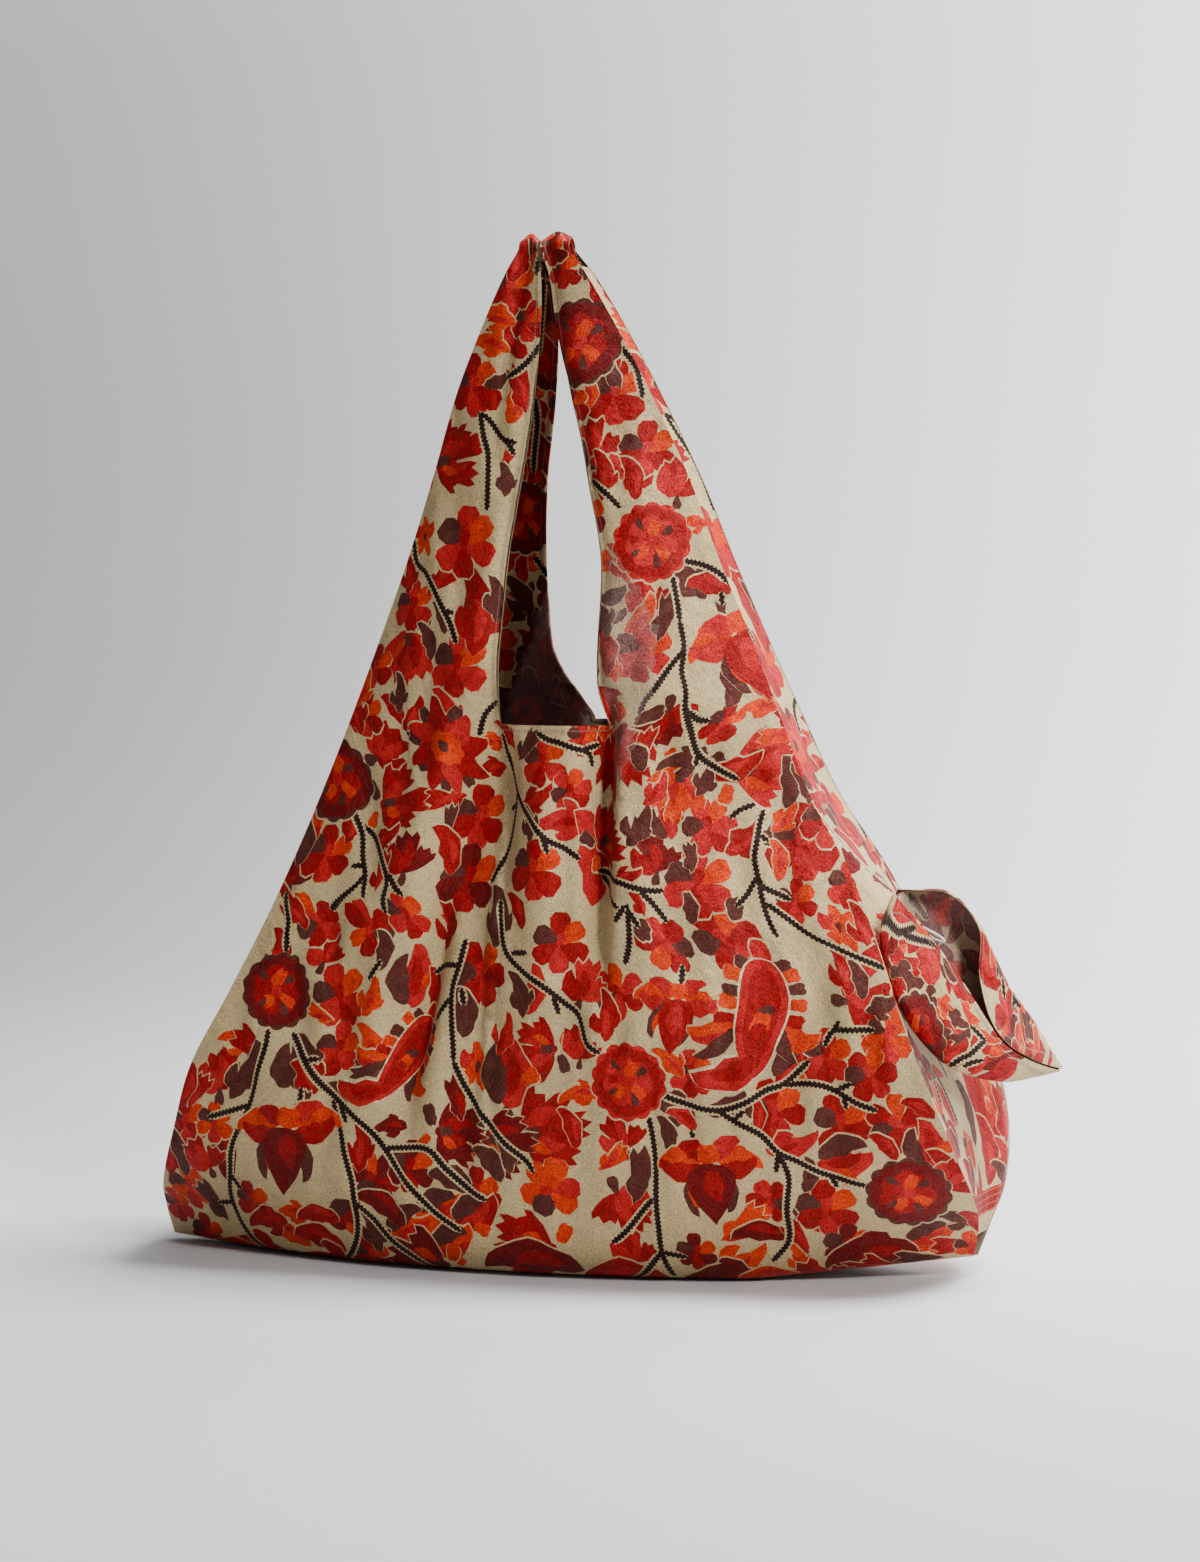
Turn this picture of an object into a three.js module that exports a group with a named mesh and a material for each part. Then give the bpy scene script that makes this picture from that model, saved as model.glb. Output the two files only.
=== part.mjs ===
// A reusable shopping bag of printed silk, standing open on a flat surface with its two straps drawn up to a peak.
// Millimetres. +Z is up, the front faces -Y, the stow pouch hangs on the +X side.
// Every sheet is worked out from sections by height, so that it hangs and folds as the cloth does.
import * as THREE from 'three';
import { mergeVertices } from 'three/addons/utils/BufferGeometryUtils.js';

// Driving dimensions
const CLOTH = 1.2; // thickness of the cloth with its weave and hems
const SEAM_GAP = 0.3; // between two pieces that are sewn together
const HALF = CLOTH / 2;
// How far the bottom corners rise off the surface, from LIFT_FROM outwards, and how suddenly
const LIFT_LEFT = { most: 3, power: 1.7 };
const LIFT_RIGHT = { most: 14, power: 0.9 };
const LIFT_FROM = 110;
const LIFT_REACH = 140;
const LIFT_FADES_AT = 95; // height at which the lift has gone
const GUSSET_FOOT = 13; // section height at which the side strips start
const GUSSET_TOP = 597; // and end, under the tops of the straps
const NECK_ROW_Z = 324; // height of the neckline's bottom edge
const MIDDLE = { x: 7.49, y: -4.06 }; // middle of the whole outline, which the origin stands under

// How the cloth arches out between the side seams: the power of its curve near the foot and above
const ARCH = { foot: 2, above: 2.4, footUpTo: 40 };
const FOLD_NEAR_SEAM = 3; // folds fade out towards the side seams, this much faster than the arch does
const FOLD_ENDS = { in: [-0.12, 0.1], out: [0.6, 1.05] }; // where a fold starts and dies away, as shares of its length

// Between the middle surface of a panel and the middle plane, where front and back meet
const MEETING = SEAM_GAP / 2 + 0.05;
const UPRIGHT_FROM = 120; // towards the bottom corners the cloth turns upright, from this x to that
const UPRIGHT_AT = 225;
const UPRIGHT_RIDGE = 0.7; // share of the half thickness that is kept at the ridge
const RIDGE_KEEPS = 0.5; // share of the ridge's rise that is left out where the cloth is still in front

// The side strips stand inside the seams of the panels
const STRIP_IN_DEPTH = { share: 0.45, most: HALF + SEAM_GAP + 0.5 };
const STRIP_IN_X = HALF + 0.2;
const WELD = 1e-3; // points nearer than this are one

// Sections of the body, one row for each height: where the side seams run in x on the front and on the back,
// how far the seams stand in front of or behind the middle plane, and how far the cloth does midway across.
const BODY_COLUMNS = ['z', 'leftFront', 'leftBack', 'rightFront', 'rightBack', 'seamDepth', 'frontDepth', 'backDepth'];
const BODY = table(BODY_COLUMNS, [
  [0, -267, -265, 234, 236, 2, 70, 66],
  [20, -267, -264, 239, 242, 15, 84, 78],
  [40, -260, -257, 241, 246, 38, 90, 84],
  [80, -241, -239, 234, 244, 68, 96, 88],
  [120, -225, -219, 220, 233, 81, 97, 89],
  [160, -205, -199, 203, 210, 74, 95, 87],
  [200, -187, -183, 187, 190, 62, 90, 82],
  [240, -171, -168, 169, 170, 50, 83, 76],
  [280, -156, -153, 145, 145, 41, 75, 69],
  [324, -140, -137, 126, 125, 34, 66, 62],
  [370, -124, -121, 107, 105, 28, 58, 55],
  [420, -107, -105, 85, 84, 23, 49, 48],
  [470, -92, -91, 65, 64, 19, 38, 38],
  [520, -78, -77, 41, 40, 16, 27, 27],
  [560, -63, -62, 19, 19, 13, 19, 19],
  [590, -50, -50, 1, 1, 11, 12, 12],
  [606, -42, -42, -11, -11, 7, 7, 7],
]);

// Inner hems of the straps. Below the neckline the same lines run on down the body, where the cloth folds.
const HEM_COLUMNS = ['z', 'left', 'right'];
const FRONT_HEM = table(HEM_COLUMNS, [
  [0, -52, 24],
  [120, -46, 27],
  [240, -43, 28],
  [324, -41, 25],
  [350, -42, 19],
  [420, -39, 18],
  [470, -33, 7],
  [520, -28, -6],
  [560, -25, -17],
  [590, -27, -23],
  [606, -31, -29],
]);
const BACK_HEM = table(HEM_COLUMNS, [
  [0, -34, 20],
  [200, -22, 14],
  [324, -11, 8],
  [335, -18, 15],
  [350, -29, 22],
  [370, -37, 27],
  [420, -39, 24],
  [470, -35, 12],
  [520, -28, -4],
  [560, -25, -17],
  [590, -27, -23],
  [606, -31, -29],
]);

// Main folds of the front and the back: a trough follows a line from top to bottom. Sizes across, in mm.
const FOLD_COLUMNS = ['topX', 'topZ', 'footX', 'footZ', 'deep', 'leftWide', 'rightWide'];
const FRONT_FOLDS = table(FOLD_COLUMNS, [
  [-41, 330, -50, 60, 9, 24, 12],
  [-52, 300, -106, 60, 7, 16, 22],
  [27, 335, 30, 190, 8, 14, 7],
  [-30, 318, -20, 120, 4, 9, 12],
  [98, 300, 150, 60, 4, 30, 34],
]);
const BACK_FOLDS = table(FOLD_COLUMNS, [
  [-12, 326, -60, 60, 8, 26, 16],
  [10, 326, 52, 70, 8, 14, 26],
  [-90, 330, -150, 70, 5, 26, 22],
  [96, 320, 160, 70, 5, 24, 24],
]);

// Side strips, one row for each height: how far the stitched middle line stands out (+) or in (-) from the
// straight line between the two seams, and how deep the pleat before and behind it is.
const SIDE_COLUMNS = ['z', 'middle', 'frontPleat', 'backPleat'];
const RIGHT_SIDE = table(SIDE_COLUMNS, [
  [0, 0, 0, 0],
  [40, -2, 0, -4],
  [80, -2, 0, -9],
  [120, 1, 2, -9],
  [160, 0, 8, -7],
  [200, 0, 12, -4],
  [240, -3, 11, -1],
  [280, -5, 6, 0],
  [324, -5, 2, 0],
  [400, -6, 0, 0],
  [500, -8, 0, 0],
  [600, -5, 0, 0],
]);
const LEFT_SIDE = table(SIDE_COLUMNS, [
  [0, 0, 0, 0],
  [40, 4, -3, -4],
  [80, 8, -6, -6],
  [120, 8, -5, -6],
  [160, 6, -1, -2],
  [200, 3, 2, 2],
  [240, -1, 4, 4],
  [324, -6, 2, 2],
  [400, -8, 0, 0],
  [500, -9, 0, 0],
  [600, -5, 0, 0],
]);

// Heights of the rows of a panel. The first ones lie on the surface: out is the share of the foot's depth reached.
const FOOT_ROWS = table(['z', 'out'], [
  [0, 0], [0, 0.34], [0, 0.64], [0.8, 0.84], [5, 0.96],
]);
const BODY_ROWS = [15, 30, 50, 75, 100, 130, 160, 190, 220, 250, 280, 303, NECK_ROW_Z];
const STRAP_ROWS = [336, 350, 368, 392, 420, 450, 480, 510, 540, 565, 585, 598, 606];
const RIDGE_ROWS = table(['rise', 'out'], [[3.2, 0.62], [4.6, 0]]);

// Cells across a panel: left part, neck part and right part
const LEFT_CELLS = 8;
const NECK_CELLS = 5;
const RIGHT_CELLS = 9;
const SIDE_CELLS = 8;

// The tops of the straps pinch into peaks: a row for each point along the ridge
const RIDGE = table(['x', 'rise'], [
  [-60, 0], [-44, 0], [-36, 5], [-31, 1], [-29, 1], [-20, 6], [-12, 3], [-4, 0], [10, 0],
]);

// The stow pouch hangs from the middle line of the right side. Sections along it, in mm from the corner it is
// sewn by: how far its lobe and its upper edge reach, half its fullness, and where the two lips of its mouth are.
const POUCH_AT = { x: 187, y: -2.2, z: 227 };
const POUCH_VIEW_TURN = THREE.MathUtils.degToRad(15); // the pouch faces the front right
const POUCH_SLOPE = THREE.MathUtils.degToRad(46.9); // its long axis falls this steeply
const POUCH_LEAN = 0.95; // the lobe leans out this far, for each mm that it reaches
const POUCH = table(['along', 'lobe', 'upper', 'full', 'lipA', 'lipB', 'out'], [
  [0, 4, -2, 2.2, 1.5, -1, 3],
  [5, 20, -8, 6, 2.5, -7, 12],
  [20, 34, -22, 12, 3, -21, 19],
  [46, 45, -22, 16, 6, -20, 24],
  [64, 48, -16, 17, 9, -2, 25],
  [84, 47, -10, 17, 13, 10.5, 24],
  [102, 40, -8, 15, 15, 13.6, 20],
  [120, 28, -5, 10, 11, 9.7, 16],
  [133, 13, -2, 5, 6, 4.8, 12],
  [141, 3, -1, 1.9, 1.8, 0.6, 10],
]);
const POUCH_CELLS = 18;
const POUCH_LEAN_FROM = -4; // reach at which the lean starts

// The cord loop, sewn inside the front lip of the pouch: where it starts and ends in the pouch's own directions
const LOOP = { cord: 1.6, spread: 2.2, steps: 22, roundness: 4 };
const LOOP_TURNS = table(['far', 'side'], [
  [0, -0.5], [0.45, -0.62], [0.85, -0.6], [1, 0], [0.85, 0.6], [0.45, 0.62], [0, 0.5],
]);
const LOOP_ROOT = { along: 18, reach: 6, outwards: 30.6 };
const LOOP_END = { along: 36, reach: 0, outwards: 34.6 };

// Materials, as the cloth looks from some way off
const COLOURS = {
  printed: 0xa8574a,
  side: 0xa65e4c,
  pouch: 0xa04c42,
  cord: 0xe6ded2,
};
const ROUGHNESS = { silk: 0.75, cord: 0.85 };

/** Turns rows of numbers into objects with named fields. */
function table(columns, rows) {
  return rows.map((row) => Object.fromEntries(columns.map((name, i) => [name, row[i]])));
}

/** A smooth curve through one column of a table, read at any value of the key column. */
function curve(rows, key, column) {
  const at = rows.map((row) => row[key]);
  const values = rows.map((row) => row[column]);
  return (x) => {
    const inside = THREE.MathUtils.clamp(x, at[0], at[at.length - 1]);
    let i = 0;
    while (i < at.length - 2 && inside > at[i + 1]) i += 1;
    const step = at[i + 1] - at[i];
    const slope = (j) => {
      const before = Math.max(j - 1, 0);
      const after = Math.min(j + 1, at.length - 1);
      return (values[after] - values[before]) / (at[after] - at[before]);
    };
    const t = (inside - at[i]) / step;
    const tt = t * t;
    const ttt = tt * t;
    return (2 * ttt - 3 * tt + 1) * values[i] + (ttt - 2 * tt + t) * step * slope(i)
      + (3 * tt - 2 * ttt) * values[i + 1] + (ttt - tt) * step * slope(i + 1);
  };
}

/** Curves for every column of a table but its key. */
function curves(rows, key) {
  const columns = Object.keys(rows[0]).filter((name) => name !== key);
  return Object.fromEntries(columns.map((name) => [name, curve(rows, key, name)]));
}

const body = curves(BODY, 'z');
const ridge = curves(RIDGE, 'x');

/** How far the bottom corners lift the cloth at x, for a row at height z. */
function lift(x, z) {
  const reach = Math.max(0, (Math.abs(x) - LIFT_FROM) / LIFT_REACH);
  const corner = x < 0 ? LIFT_LEFT : LIFT_RIGHT;
  const fade = 1 - THREE.MathUtils.smoothstep(z, 0, LIFT_FADES_AT);
  return corner.most * Math.pow(reach, corner.power) * fade;
}

/** Depth of all folds at a point of a panel. */
function foldDepth(folds, x, z) {
  let deep = 0;
  for (const fold of folds) {
    const down = (fold.topZ - z) / (fold.topZ - fold.footZ);
    const line = THREE.MathUtils.lerp(fold.topX, fold.footX, down);
    const wide = x < line ? fold.leftWide : fold.rightWide;
    const across = (x - line) / wide;
    const ends = THREE.MathUtils.smoothstep(down, ...FOLD_ENDS.in)
      * (1 - THREE.MathUtils.smoothstep(down, ...FOLD_ENDS.out));
    deep += fold.deep * ends * Math.exp(-across * across);
  }
  return deep;
}

/**
 * A point on the front (side -1) or the back (side +1).
 * across runs from 0 to 3: the left seam, the left hem, the right hem and the right seam are at 0, 1, 2 and 3.
 */
function panelPoint(side, hems, folds, across, row) {
  const z = row.z;
  const seams = side < 0 ? [body.leftFront(z), body.rightFront(z)] : [body.leftBack(z), body.rightBack(z)];
  const marks = [seams[0], hems.left(z), hems.right(z), seams[1]];
  const part = Math.min(Math.floor(across), 2);
  const x = THREE.MathUtils.lerp(marks[part], marks[part + 1], across - part);
  const middle = (seams[0] + seams[1]) / 2;
  const width = (seams[1] - seams[0]) / 2;
  const share = Math.min(1, Math.abs(x - middle) / width);
  const centre = side < 0 ? body.frontDepth(z) : body.backDepth(z);
  const arch = 1 - Math.pow(share, z < ARCH.footUpTo ? ARCH.foot : ARCH.above);
  let depth = THREE.MathUtils.lerp(body.seamDepth(z), centre, arch);
  depth -= foldDepth(folds, x, z) * Math.min(1, arch * FOLD_NEAR_SEAM);
  depth *= row.out;
  const rise = row.rise ? row.rise + ridge.rise(x) * (1 - row.out * RIDGE_KEEPS) : 0;
  const upright = row.rise ? UPRIGHT_RIDGE : THREE.MathUtils.smoothstep(Math.abs(x), UPRIGHT_FROM, UPRIGHT_AT);
  return new THREE.Vector3(x, side * (depth + MEETING + upright * HALF), z + HALF + rise + lift(x, z));
}

/** All rows of a panel from the bottom seam to the top of the straps. */
function panelRows() {
  const foot = FOOT_ROWS.map((row) => ({ ...row, rise: 0 }));
  const sides = [...BODY_ROWS, ...STRAP_ROWS].map((z) => ({ z, out: 1, rise: 0 }));
  const last = STRAP_ROWS[STRAP_ROWS.length - 1];
  const top = RIDGE_ROWS.map((row) => ({ ...row, z: last }));
  return [...foot, ...sides, ...top];
}

/** Six times the volume that a list of triangles encloses, negative if they face inwards. */
function enclosed(positions) {
  const corner = (i) => new THREE.Vector3(positions[i], positions[i + 1], positions[i + 2]);
  let sum = 0;
  for (let i = 0; i < positions.length; i += 9) sum += corner(i).dot(corner(i + 3).cross(corner(i + 6)));
  return sum;
}

/** One closed sheet of cloth around a grid of middle points. Cells where present(row, column) is false are open. */
function sheet(points, present) {
  const rows = points.length;
  const columns = points[0].length;
  const isCloth = (r, c) => r >= 0 && c >= 0 && r < rows - 1 && c < columns - 1 && present(r, c);
  const normals = points.map((line) => line.map(() => new THREE.Vector3()));
  const a = new THREE.Vector3();
  const b = new THREE.Vector3();
  for (let r = 0; r < rows - 1; r += 1) {
    for (let c = 0; c < columns - 1; c += 1) {
      if (!isCloth(r, c)) continue;
      a.subVectors(points[r + 1][c + 1], points[r][c]);
      b.subVectors(points[r + 1][c], points[r][c + 1]);
      const n = a.clone().cross(b).normalize();
      [[r, c], [r, c + 1], [r + 1, c], [r + 1, c + 1]].forEach(([i, j]) => normals[i][j].add(n));
    }
  }
  const positions = [];
  const triangle = (p, q, s) => positions.push(...p.toArray(), ...q.toArray(), ...s.toArray());
  const quad = (p, q, s, t) => {
    triangle(p, q, s);
    triangle(p, s, t);
  };
  const face = (r, c, way) => points[r][c].clone().addScaledVector(normals[r][c].clone().normalize(), way * HALF);
  for (let r = 0; r < rows - 1; r += 1) {
    for (let c = 0; c < columns - 1; c += 1) {
      if (!isCloth(r, c)) continue;
      const corners = [[r, c], [r, c + 1], [r + 1, c + 1], [r + 1, c]];
      const over = corners.map(([i, j]) => face(i, j, 1));
      const under = corners.map(([i, j]) => face(i, j, -1));
      quad(over[0], over[3], over[2], over[1]);
      quad(under[0], under[1], under[2], under[3]);
      const beyond = [[r - 1, c], [r, c + 1], [r + 1, c], [r, c - 1]];
      beyond.forEach(([i, j], k) => {
        const next = (k + 1) % 4;
        if (!isCloth(i, j)) quad(over[k], over[next], under[next], under[k]);
      });
    }
  }
  if (enclosed(positions) < 0) {
    for (let i = 0; i < positions.length; i += 9) {
      for (let k = 0; k < 3; k += 1) {
        [positions[i + 3 + k], positions[i + 6 + k]] = [positions[i + 6 + k], positions[i + 3 + k]];
      }
    }
  }
  const geometry = new THREE.BufferGeometry();
  geometry.setAttribute('position', new THREE.Float32BufferAttribute(positions, 3));
  const merged = mergeVertices(geometry, WELD);
  merged.computeVertexNormals();
  return merged;
}

/** The front or the back, with its two strap halves above the neckline. */
function panel(side, hems, folds) {
  const stops = [];
  for (let i = 0; i < LEFT_CELLS; i += 1) stops.push(i / LEFT_CELLS);
  for (let i = 0; i < NECK_CELLS; i += 1) stops.push(1 + i / NECK_CELLS);
  for (let i = 0; i <= RIGHT_CELLS; i += 1) stops.push(2 + i / RIGHT_CELLS);
  const rows = panelRows();
  const neckRow = FOOT_ROWS.length + BODY_ROWS.length - 1;
  const points = rows.map((row) => stops.map((across) => panelPoint(side, hems, folds, across, row)));
  const isNeck = (c) => c >= LEFT_CELLS && c < LEFT_CELLS + NECK_CELLS;
  return sheet(points, (r, c) => r < neckRow || !isNeck(c));
}

/** A side strip between the front seam and the back seam. out is -1 on the left and +1 on the right. */
function gusset(out, side) {
  const heights = [...FOOT_ROWS.map((row) => row.z), ...BODY_ROWS, ...STRAP_ROWS]
    .filter((z) => z > GUSSET_FOOT && z < GUSSET_TOP);
  const shape = curves(side, 'z');
  const points = heights.map((z) => {
    const front = out < 0 ? body.leftFront(z) : body.rightFront(z);
    const back = out < 0 ? body.leftBack(z) : body.rightBack(z);
    const depth = body.seamDepth(z);
    const clear = Math.min(depth * STRIP_IN_DEPTH.share, STRIP_IN_DEPTH.most);
    const line = [];
    for (let i = 0; i <= SIDE_CELLS; i += 1) {
      const t = i / SIDE_CELLS;
      const y = THREE.MathUtils.lerp(-depth + clear, depth - clear, t);
      const pleat = t < 0.5 ? shape.frontPleat(z) : shape.backPleat(z);
      const bulge = shape.middle(z) * Math.sin(Math.PI * t) - pleat * Math.sin(2 * Math.PI * t) ** 2;
      const x = THREE.MathUtils.lerp(front, back, t) + out * (bulge - STRIP_IN_X);
      line.push(new THREE.Vector3(x, y, z + HALF + lift(x, z)));
    }
    return line;
  });
  return sheet(points, () => true);
}

/** A point of the pouch: along its axis, reach across its axis and out towards the front right, in mm. */
function pouchPoint(along, reach, outwards) {
  const cos = Math.cos(POUCH_VIEW_TURN);
  const sin = Math.sin(POUCH_VIEW_TURN);
  const right = along * Math.cos(POUCH_SLOPE) - reach * Math.sin(POUCH_SLOPE);
  const down = along * Math.sin(POUCH_SLOPE) + reach * Math.cos(POUCH_SLOPE);
  return new THREE.Vector3(
    POUCH_AT.x + right * cos + outwards * sin,
    POUCH_AT.y + right * sin - outwards * cos,
    POUCH_AT.z - down,
  );
}

/** The stow pouch: a pod open along its front, from one lip round the lobe and the back to the other lip. */
function pouch() {
  const points = POUCH.map((row) => {
    const centre = (row.lobe + row.upper) / 2;
    const half = (row.lobe - row.upper) / 2;
    const start = Math.acos(THREE.MathUtils.clamp((row.lipA - centre) / half, -1, 1));
    const stop = -2 * Math.PI + Math.acos(THREE.MathUtils.clamp((row.lipB - centre) / half, -1, 1));
    const line = [];
    for (let i = 0; i <= POUCH_CELLS; i += 1) {
      const angle = THREE.MathUtils.lerp(start, stop, i / POUCH_CELLS);
      const reach = centre + half * Math.cos(angle);
      const outwards = row.out + POUCH_LEAN * Math.max(reach, POUCH_LEAN_FROM) + row.full * Math.sin(angle);
      line.push(pouchPoint(row.along, reach, outwards));
    }
    return line;
  });
  return sheet(points, () => true);
}

/** The cord loop: out along one side, round its end and back, as a thin round cord. */
function loop() {
  const path = new THREE.CatmullRomCurve3(LOOP_TURNS.map(({ far, side }) => pouchPoint(
    THREE.MathUtils.lerp(LOOP_ROOT.along, LOOP_END.along, far),
    THREE.MathUtils.lerp(LOOP_ROOT.reach, LOOP_END.reach, far) + LOOP.spread * side,
    THREE.MathUtils.lerp(LOOP_ROOT.outwards, LOOP_END.outwards, far),
  )));
  const section = new THREE.Shape();
  section.absarc(0, 0, LOOP.cord / 2, 0, 2 * Math.PI);
  const settings = { steps: LOOP.steps, curveSegments: LOOP.roundness, extrudePath: path, bevelEnabled: false };
  const tube = new THREE.ExtrudeGeometry(section, settings);
  tube.deleteAttribute('normal');
  tube.deleteAttribute('uv');
  return mergeVertices(tube, WELD);
}

/** A named mesh with a cloth-like material. */
function piece(name, geometry, colour, roughness) {
  const material = new THREE.MeshStandardMaterial({ color: colour, roughness, metalness: 0 });
  const mesh = new THREE.Mesh(geometry, material);
  mesh.name = name;
  return mesh;
}

const bag = new THREE.Group();
bag.add(
  piece('front_panel', panel(-1, curves(FRONT_HEM, 'z'), FRONT_FOLDS), COLOURS.printed, ROUGHNESS.silk),
  piece('back_panel', panel(1, curves(BACK_HEM, 'z'), BACK_FOLDS), COLOURS.printed, ROUGHNESS.silk),
  piece('gusset_left', gusset(-1, LEFT_SIDE), COLOURS.side, ROUGHNESS.silk),
  piece('gusset_right', gusset(1, RIGHT_SIDE), COLOURS.side, ROUGHNESS.silk),
  piece('stow_pouch', pouch(), COLOURS.pouch, ROUGHNESS.silk),
  piece('pouch_loop', loop(), COLOURS.cord, ROUGHNESS.cord),
);

bag.position.set(-MIDDLE.x, -MIDDLE.y, 0);

export default bag;
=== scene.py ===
"""Looks of a reusable shopping bag of thin printed silk, standing with its straps drawn up to a peak."""
import logging
import math
from dataclasses import dataclass
from enum import Enum
from typing import Callable

import bmesh
import bpy
import numpy as np
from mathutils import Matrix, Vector
from mathutils.geometry import delaunay_2d_cdt


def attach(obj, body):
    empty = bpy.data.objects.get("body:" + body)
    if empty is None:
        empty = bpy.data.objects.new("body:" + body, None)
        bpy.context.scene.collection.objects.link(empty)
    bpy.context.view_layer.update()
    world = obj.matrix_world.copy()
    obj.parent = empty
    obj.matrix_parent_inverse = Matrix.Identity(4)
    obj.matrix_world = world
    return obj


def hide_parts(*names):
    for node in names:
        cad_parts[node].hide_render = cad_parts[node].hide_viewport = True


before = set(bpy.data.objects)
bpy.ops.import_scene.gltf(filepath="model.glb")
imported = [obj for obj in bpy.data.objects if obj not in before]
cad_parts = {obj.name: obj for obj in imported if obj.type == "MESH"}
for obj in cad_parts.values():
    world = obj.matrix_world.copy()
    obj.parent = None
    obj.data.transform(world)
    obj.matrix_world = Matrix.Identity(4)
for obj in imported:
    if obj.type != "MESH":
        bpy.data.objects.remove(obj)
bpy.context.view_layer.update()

log = logging.getLogger("bag")
Array = np.ndarray

# Metres in a mm
MM = 0.001
# The middle of the outline seen from above, in mm
MIDDLE_X = 7.49
MIDDLE_Y = -4.06
# Half the thickness of the cloth that is drawn, and of the thicker cloth in CAD, in mm
SKIN = 0.5
HALF = 0.6
# The seed of the print's unevenness
SEED = 11
# Where across the bag the bottom corners start to rise, over what reach, and up to what height, in mm
LIFT_FROM = 110
LIFT_REACH = 140
LIFT_FADES_AT = 95
# The pouch's length, in mm
POUCH_LONG = 141


class Ink(Enum):
    """Colours of the printed cloth, as they look in even light."""

    GROUND = (187, 164, 119)
    DARK = (98, 3, 7)
    CRIMSON = (140, 3, 9)
    CORAL = (170, 20, 24)
    ORANGE = (194, 44, 0)
    MAUVE = (78, 33, 28)
    STEM = (30, 12, 11)
    CREAM = (200, 182, 142)

    def linear(self) -> tuple[float, float, float, float]:
        """Returns the colour as linear light, with its alpha."""
        parts = [v / 255 for v in self.value]
        light = [v / 12.92 if v <= 0.04045 else ((v + 0.055) / 1.055) ** 2.4 for v in parts]
        return (light[0], light[1], light[2], 1.0)


INKS = {"g": Ink.GROUND, "d": Ink.DARK, "c": Ink.CRIMSON, "k": Ink.CORAL, "o": Ink.ORANGE, "m": Ink.MAUVE,
        "s": Ink.STEM, "w": Ink.CREAM}


def smoothstep(x: Array, low: float, high: float) -> Array:
    """Returns 0 under low, 1 over high and a soft step between them."""
    t = np.clip((x - low) / (high - low), 0.0, 1.0)
    return t * t * (3 - 2 * t)


class Table:
    """Smooth curves through the columns of a table, read along its first column."""

    def __init__(self, columns: str, text: str) -> None:
        """Keeps the rows under their column names.

        Args:
            columns: the names of the columns, the key first.
            text: the rows of numbers, one line for each value of the key.
        """
        self.names = columns.split()
        self.rows = np.array([[float(v) for v in line.split()] for line in text.strip().splitlines()])
        self.key = self.rows[:, 0]

    def column(self, name: str) -> Array:
        """Returns one column as it stands."""
        return self.rows[:, self.names.index(name)]

    def __call__(self, name: str, at: Array) -> Array:
        """Reads a column's smooth curve.

        Args:
            name: the column.
            at: values of the key.

        Returns:
            The column's value at each of them.
        """
        key = self.key
        values = self.column(name)
        inside = np.clip(np.asarray(at, dtype=float), key[0], key[-1])
        i = np.clip(np.searchsorted(key, inside, side="right") - 1, 0, len(key) - 2)
        before = np.maximum(np.arange(len(key)) - 1, 0)
        after = np.minimum(np.arange(len(key)) + 1, len(key) - 1)
        slope = (values[after] - values[before]) / (key[after] - key[before])
        step = key[i + 1] - key[i]
        t = (inside - key[i]) / step
        low = (1 + 2 * t) * (1 - t) ** 2 * values[i] + t * (1 - t) ** 2 * step * slope[i]
        high = t * t * (3 - 2 * t) * values[i + 1] - t * t * (1 - t) * step * slope[i + 1]
        return low + high


BODY = Table(
    "z leftFront leftBack rightFront rightBack seamDepth frontDepth backDepth",
    """
    0 -267 -265 234 236 2 70 66
    20 -267 -264 239 242 15 84 78
    40 -260 -257 241 246 38 90 84
    80 -241 -239 234 244 68 96 88
    120 -225 -219 220 233 81 97 89
    160 -205 -199 203 210 74 95 87
    200 -187 -183 187 190 62 90 82
    240 -171 -168 169 170 50 83 76
    280 -156 -153 145 145 41 75 69
    324 -140 -137 126 125 34 66 62
    370 -124 -121 107 105 28 58 55
    420 -107 -105 85 84 23 49 48
    470 -92 -91 65 64 19 38 38
    520 -78 -77 41 40 16 27 27
    560 -63 -62 19 19 13 19 19
    590 -50 -50 1 1 11 12 12
    606 -42 -42 -11 -11 7 7 7
    """,
)
ROWS = Table(
    "way z out rise",
    """
    -77.2 0 0 0
    -48.6 0 0.34 0
    -23.4 0 0.64 0
    -6.6 0.8 0.84 0
    4.4 5 0.96 0
    15 15 1 0
    30 30 1 0
    300 300 1 0
    590 590 1 0
    606 606 1 0
    610.5 606 0.62 3.2
    615 606 0 4.6
    """,
)
RIDGE = Table("x rise", "-60 0\n-44 0\n-36 5\n-31 1\n-29 1\n-20 6\n-12 3\n-4 0\n10 0")
HEM_COLUMNS = "z left right"
FRONT_HEM = Table(
    HEM_COLUMNS,
    """
    0 -52 24
    120 -46 27
    240 -43 28
    324 -41 25
    350 -42 19
    420 -39 18
    470 -33 7
    520 -28 -6
    560 -25 -17
    590 -27 -23
    606 -31 -29
    """,
)
BACK_HEM = Table(
    HEM_COLUMNS,
    """
    0 -34 20
    200 -22 14
    324 -11 8
    335 -18 15
    350 -29 22
    370 -37 27
    420 -39 24
    470 -35 12
    520 -28 -4
    560 -25 -17
    590 -27 -23
    606 -31 -29
    """,
)
FOLD_COLUMNS = "topX topZ footX footZ deep leftWide rightWide"
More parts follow.
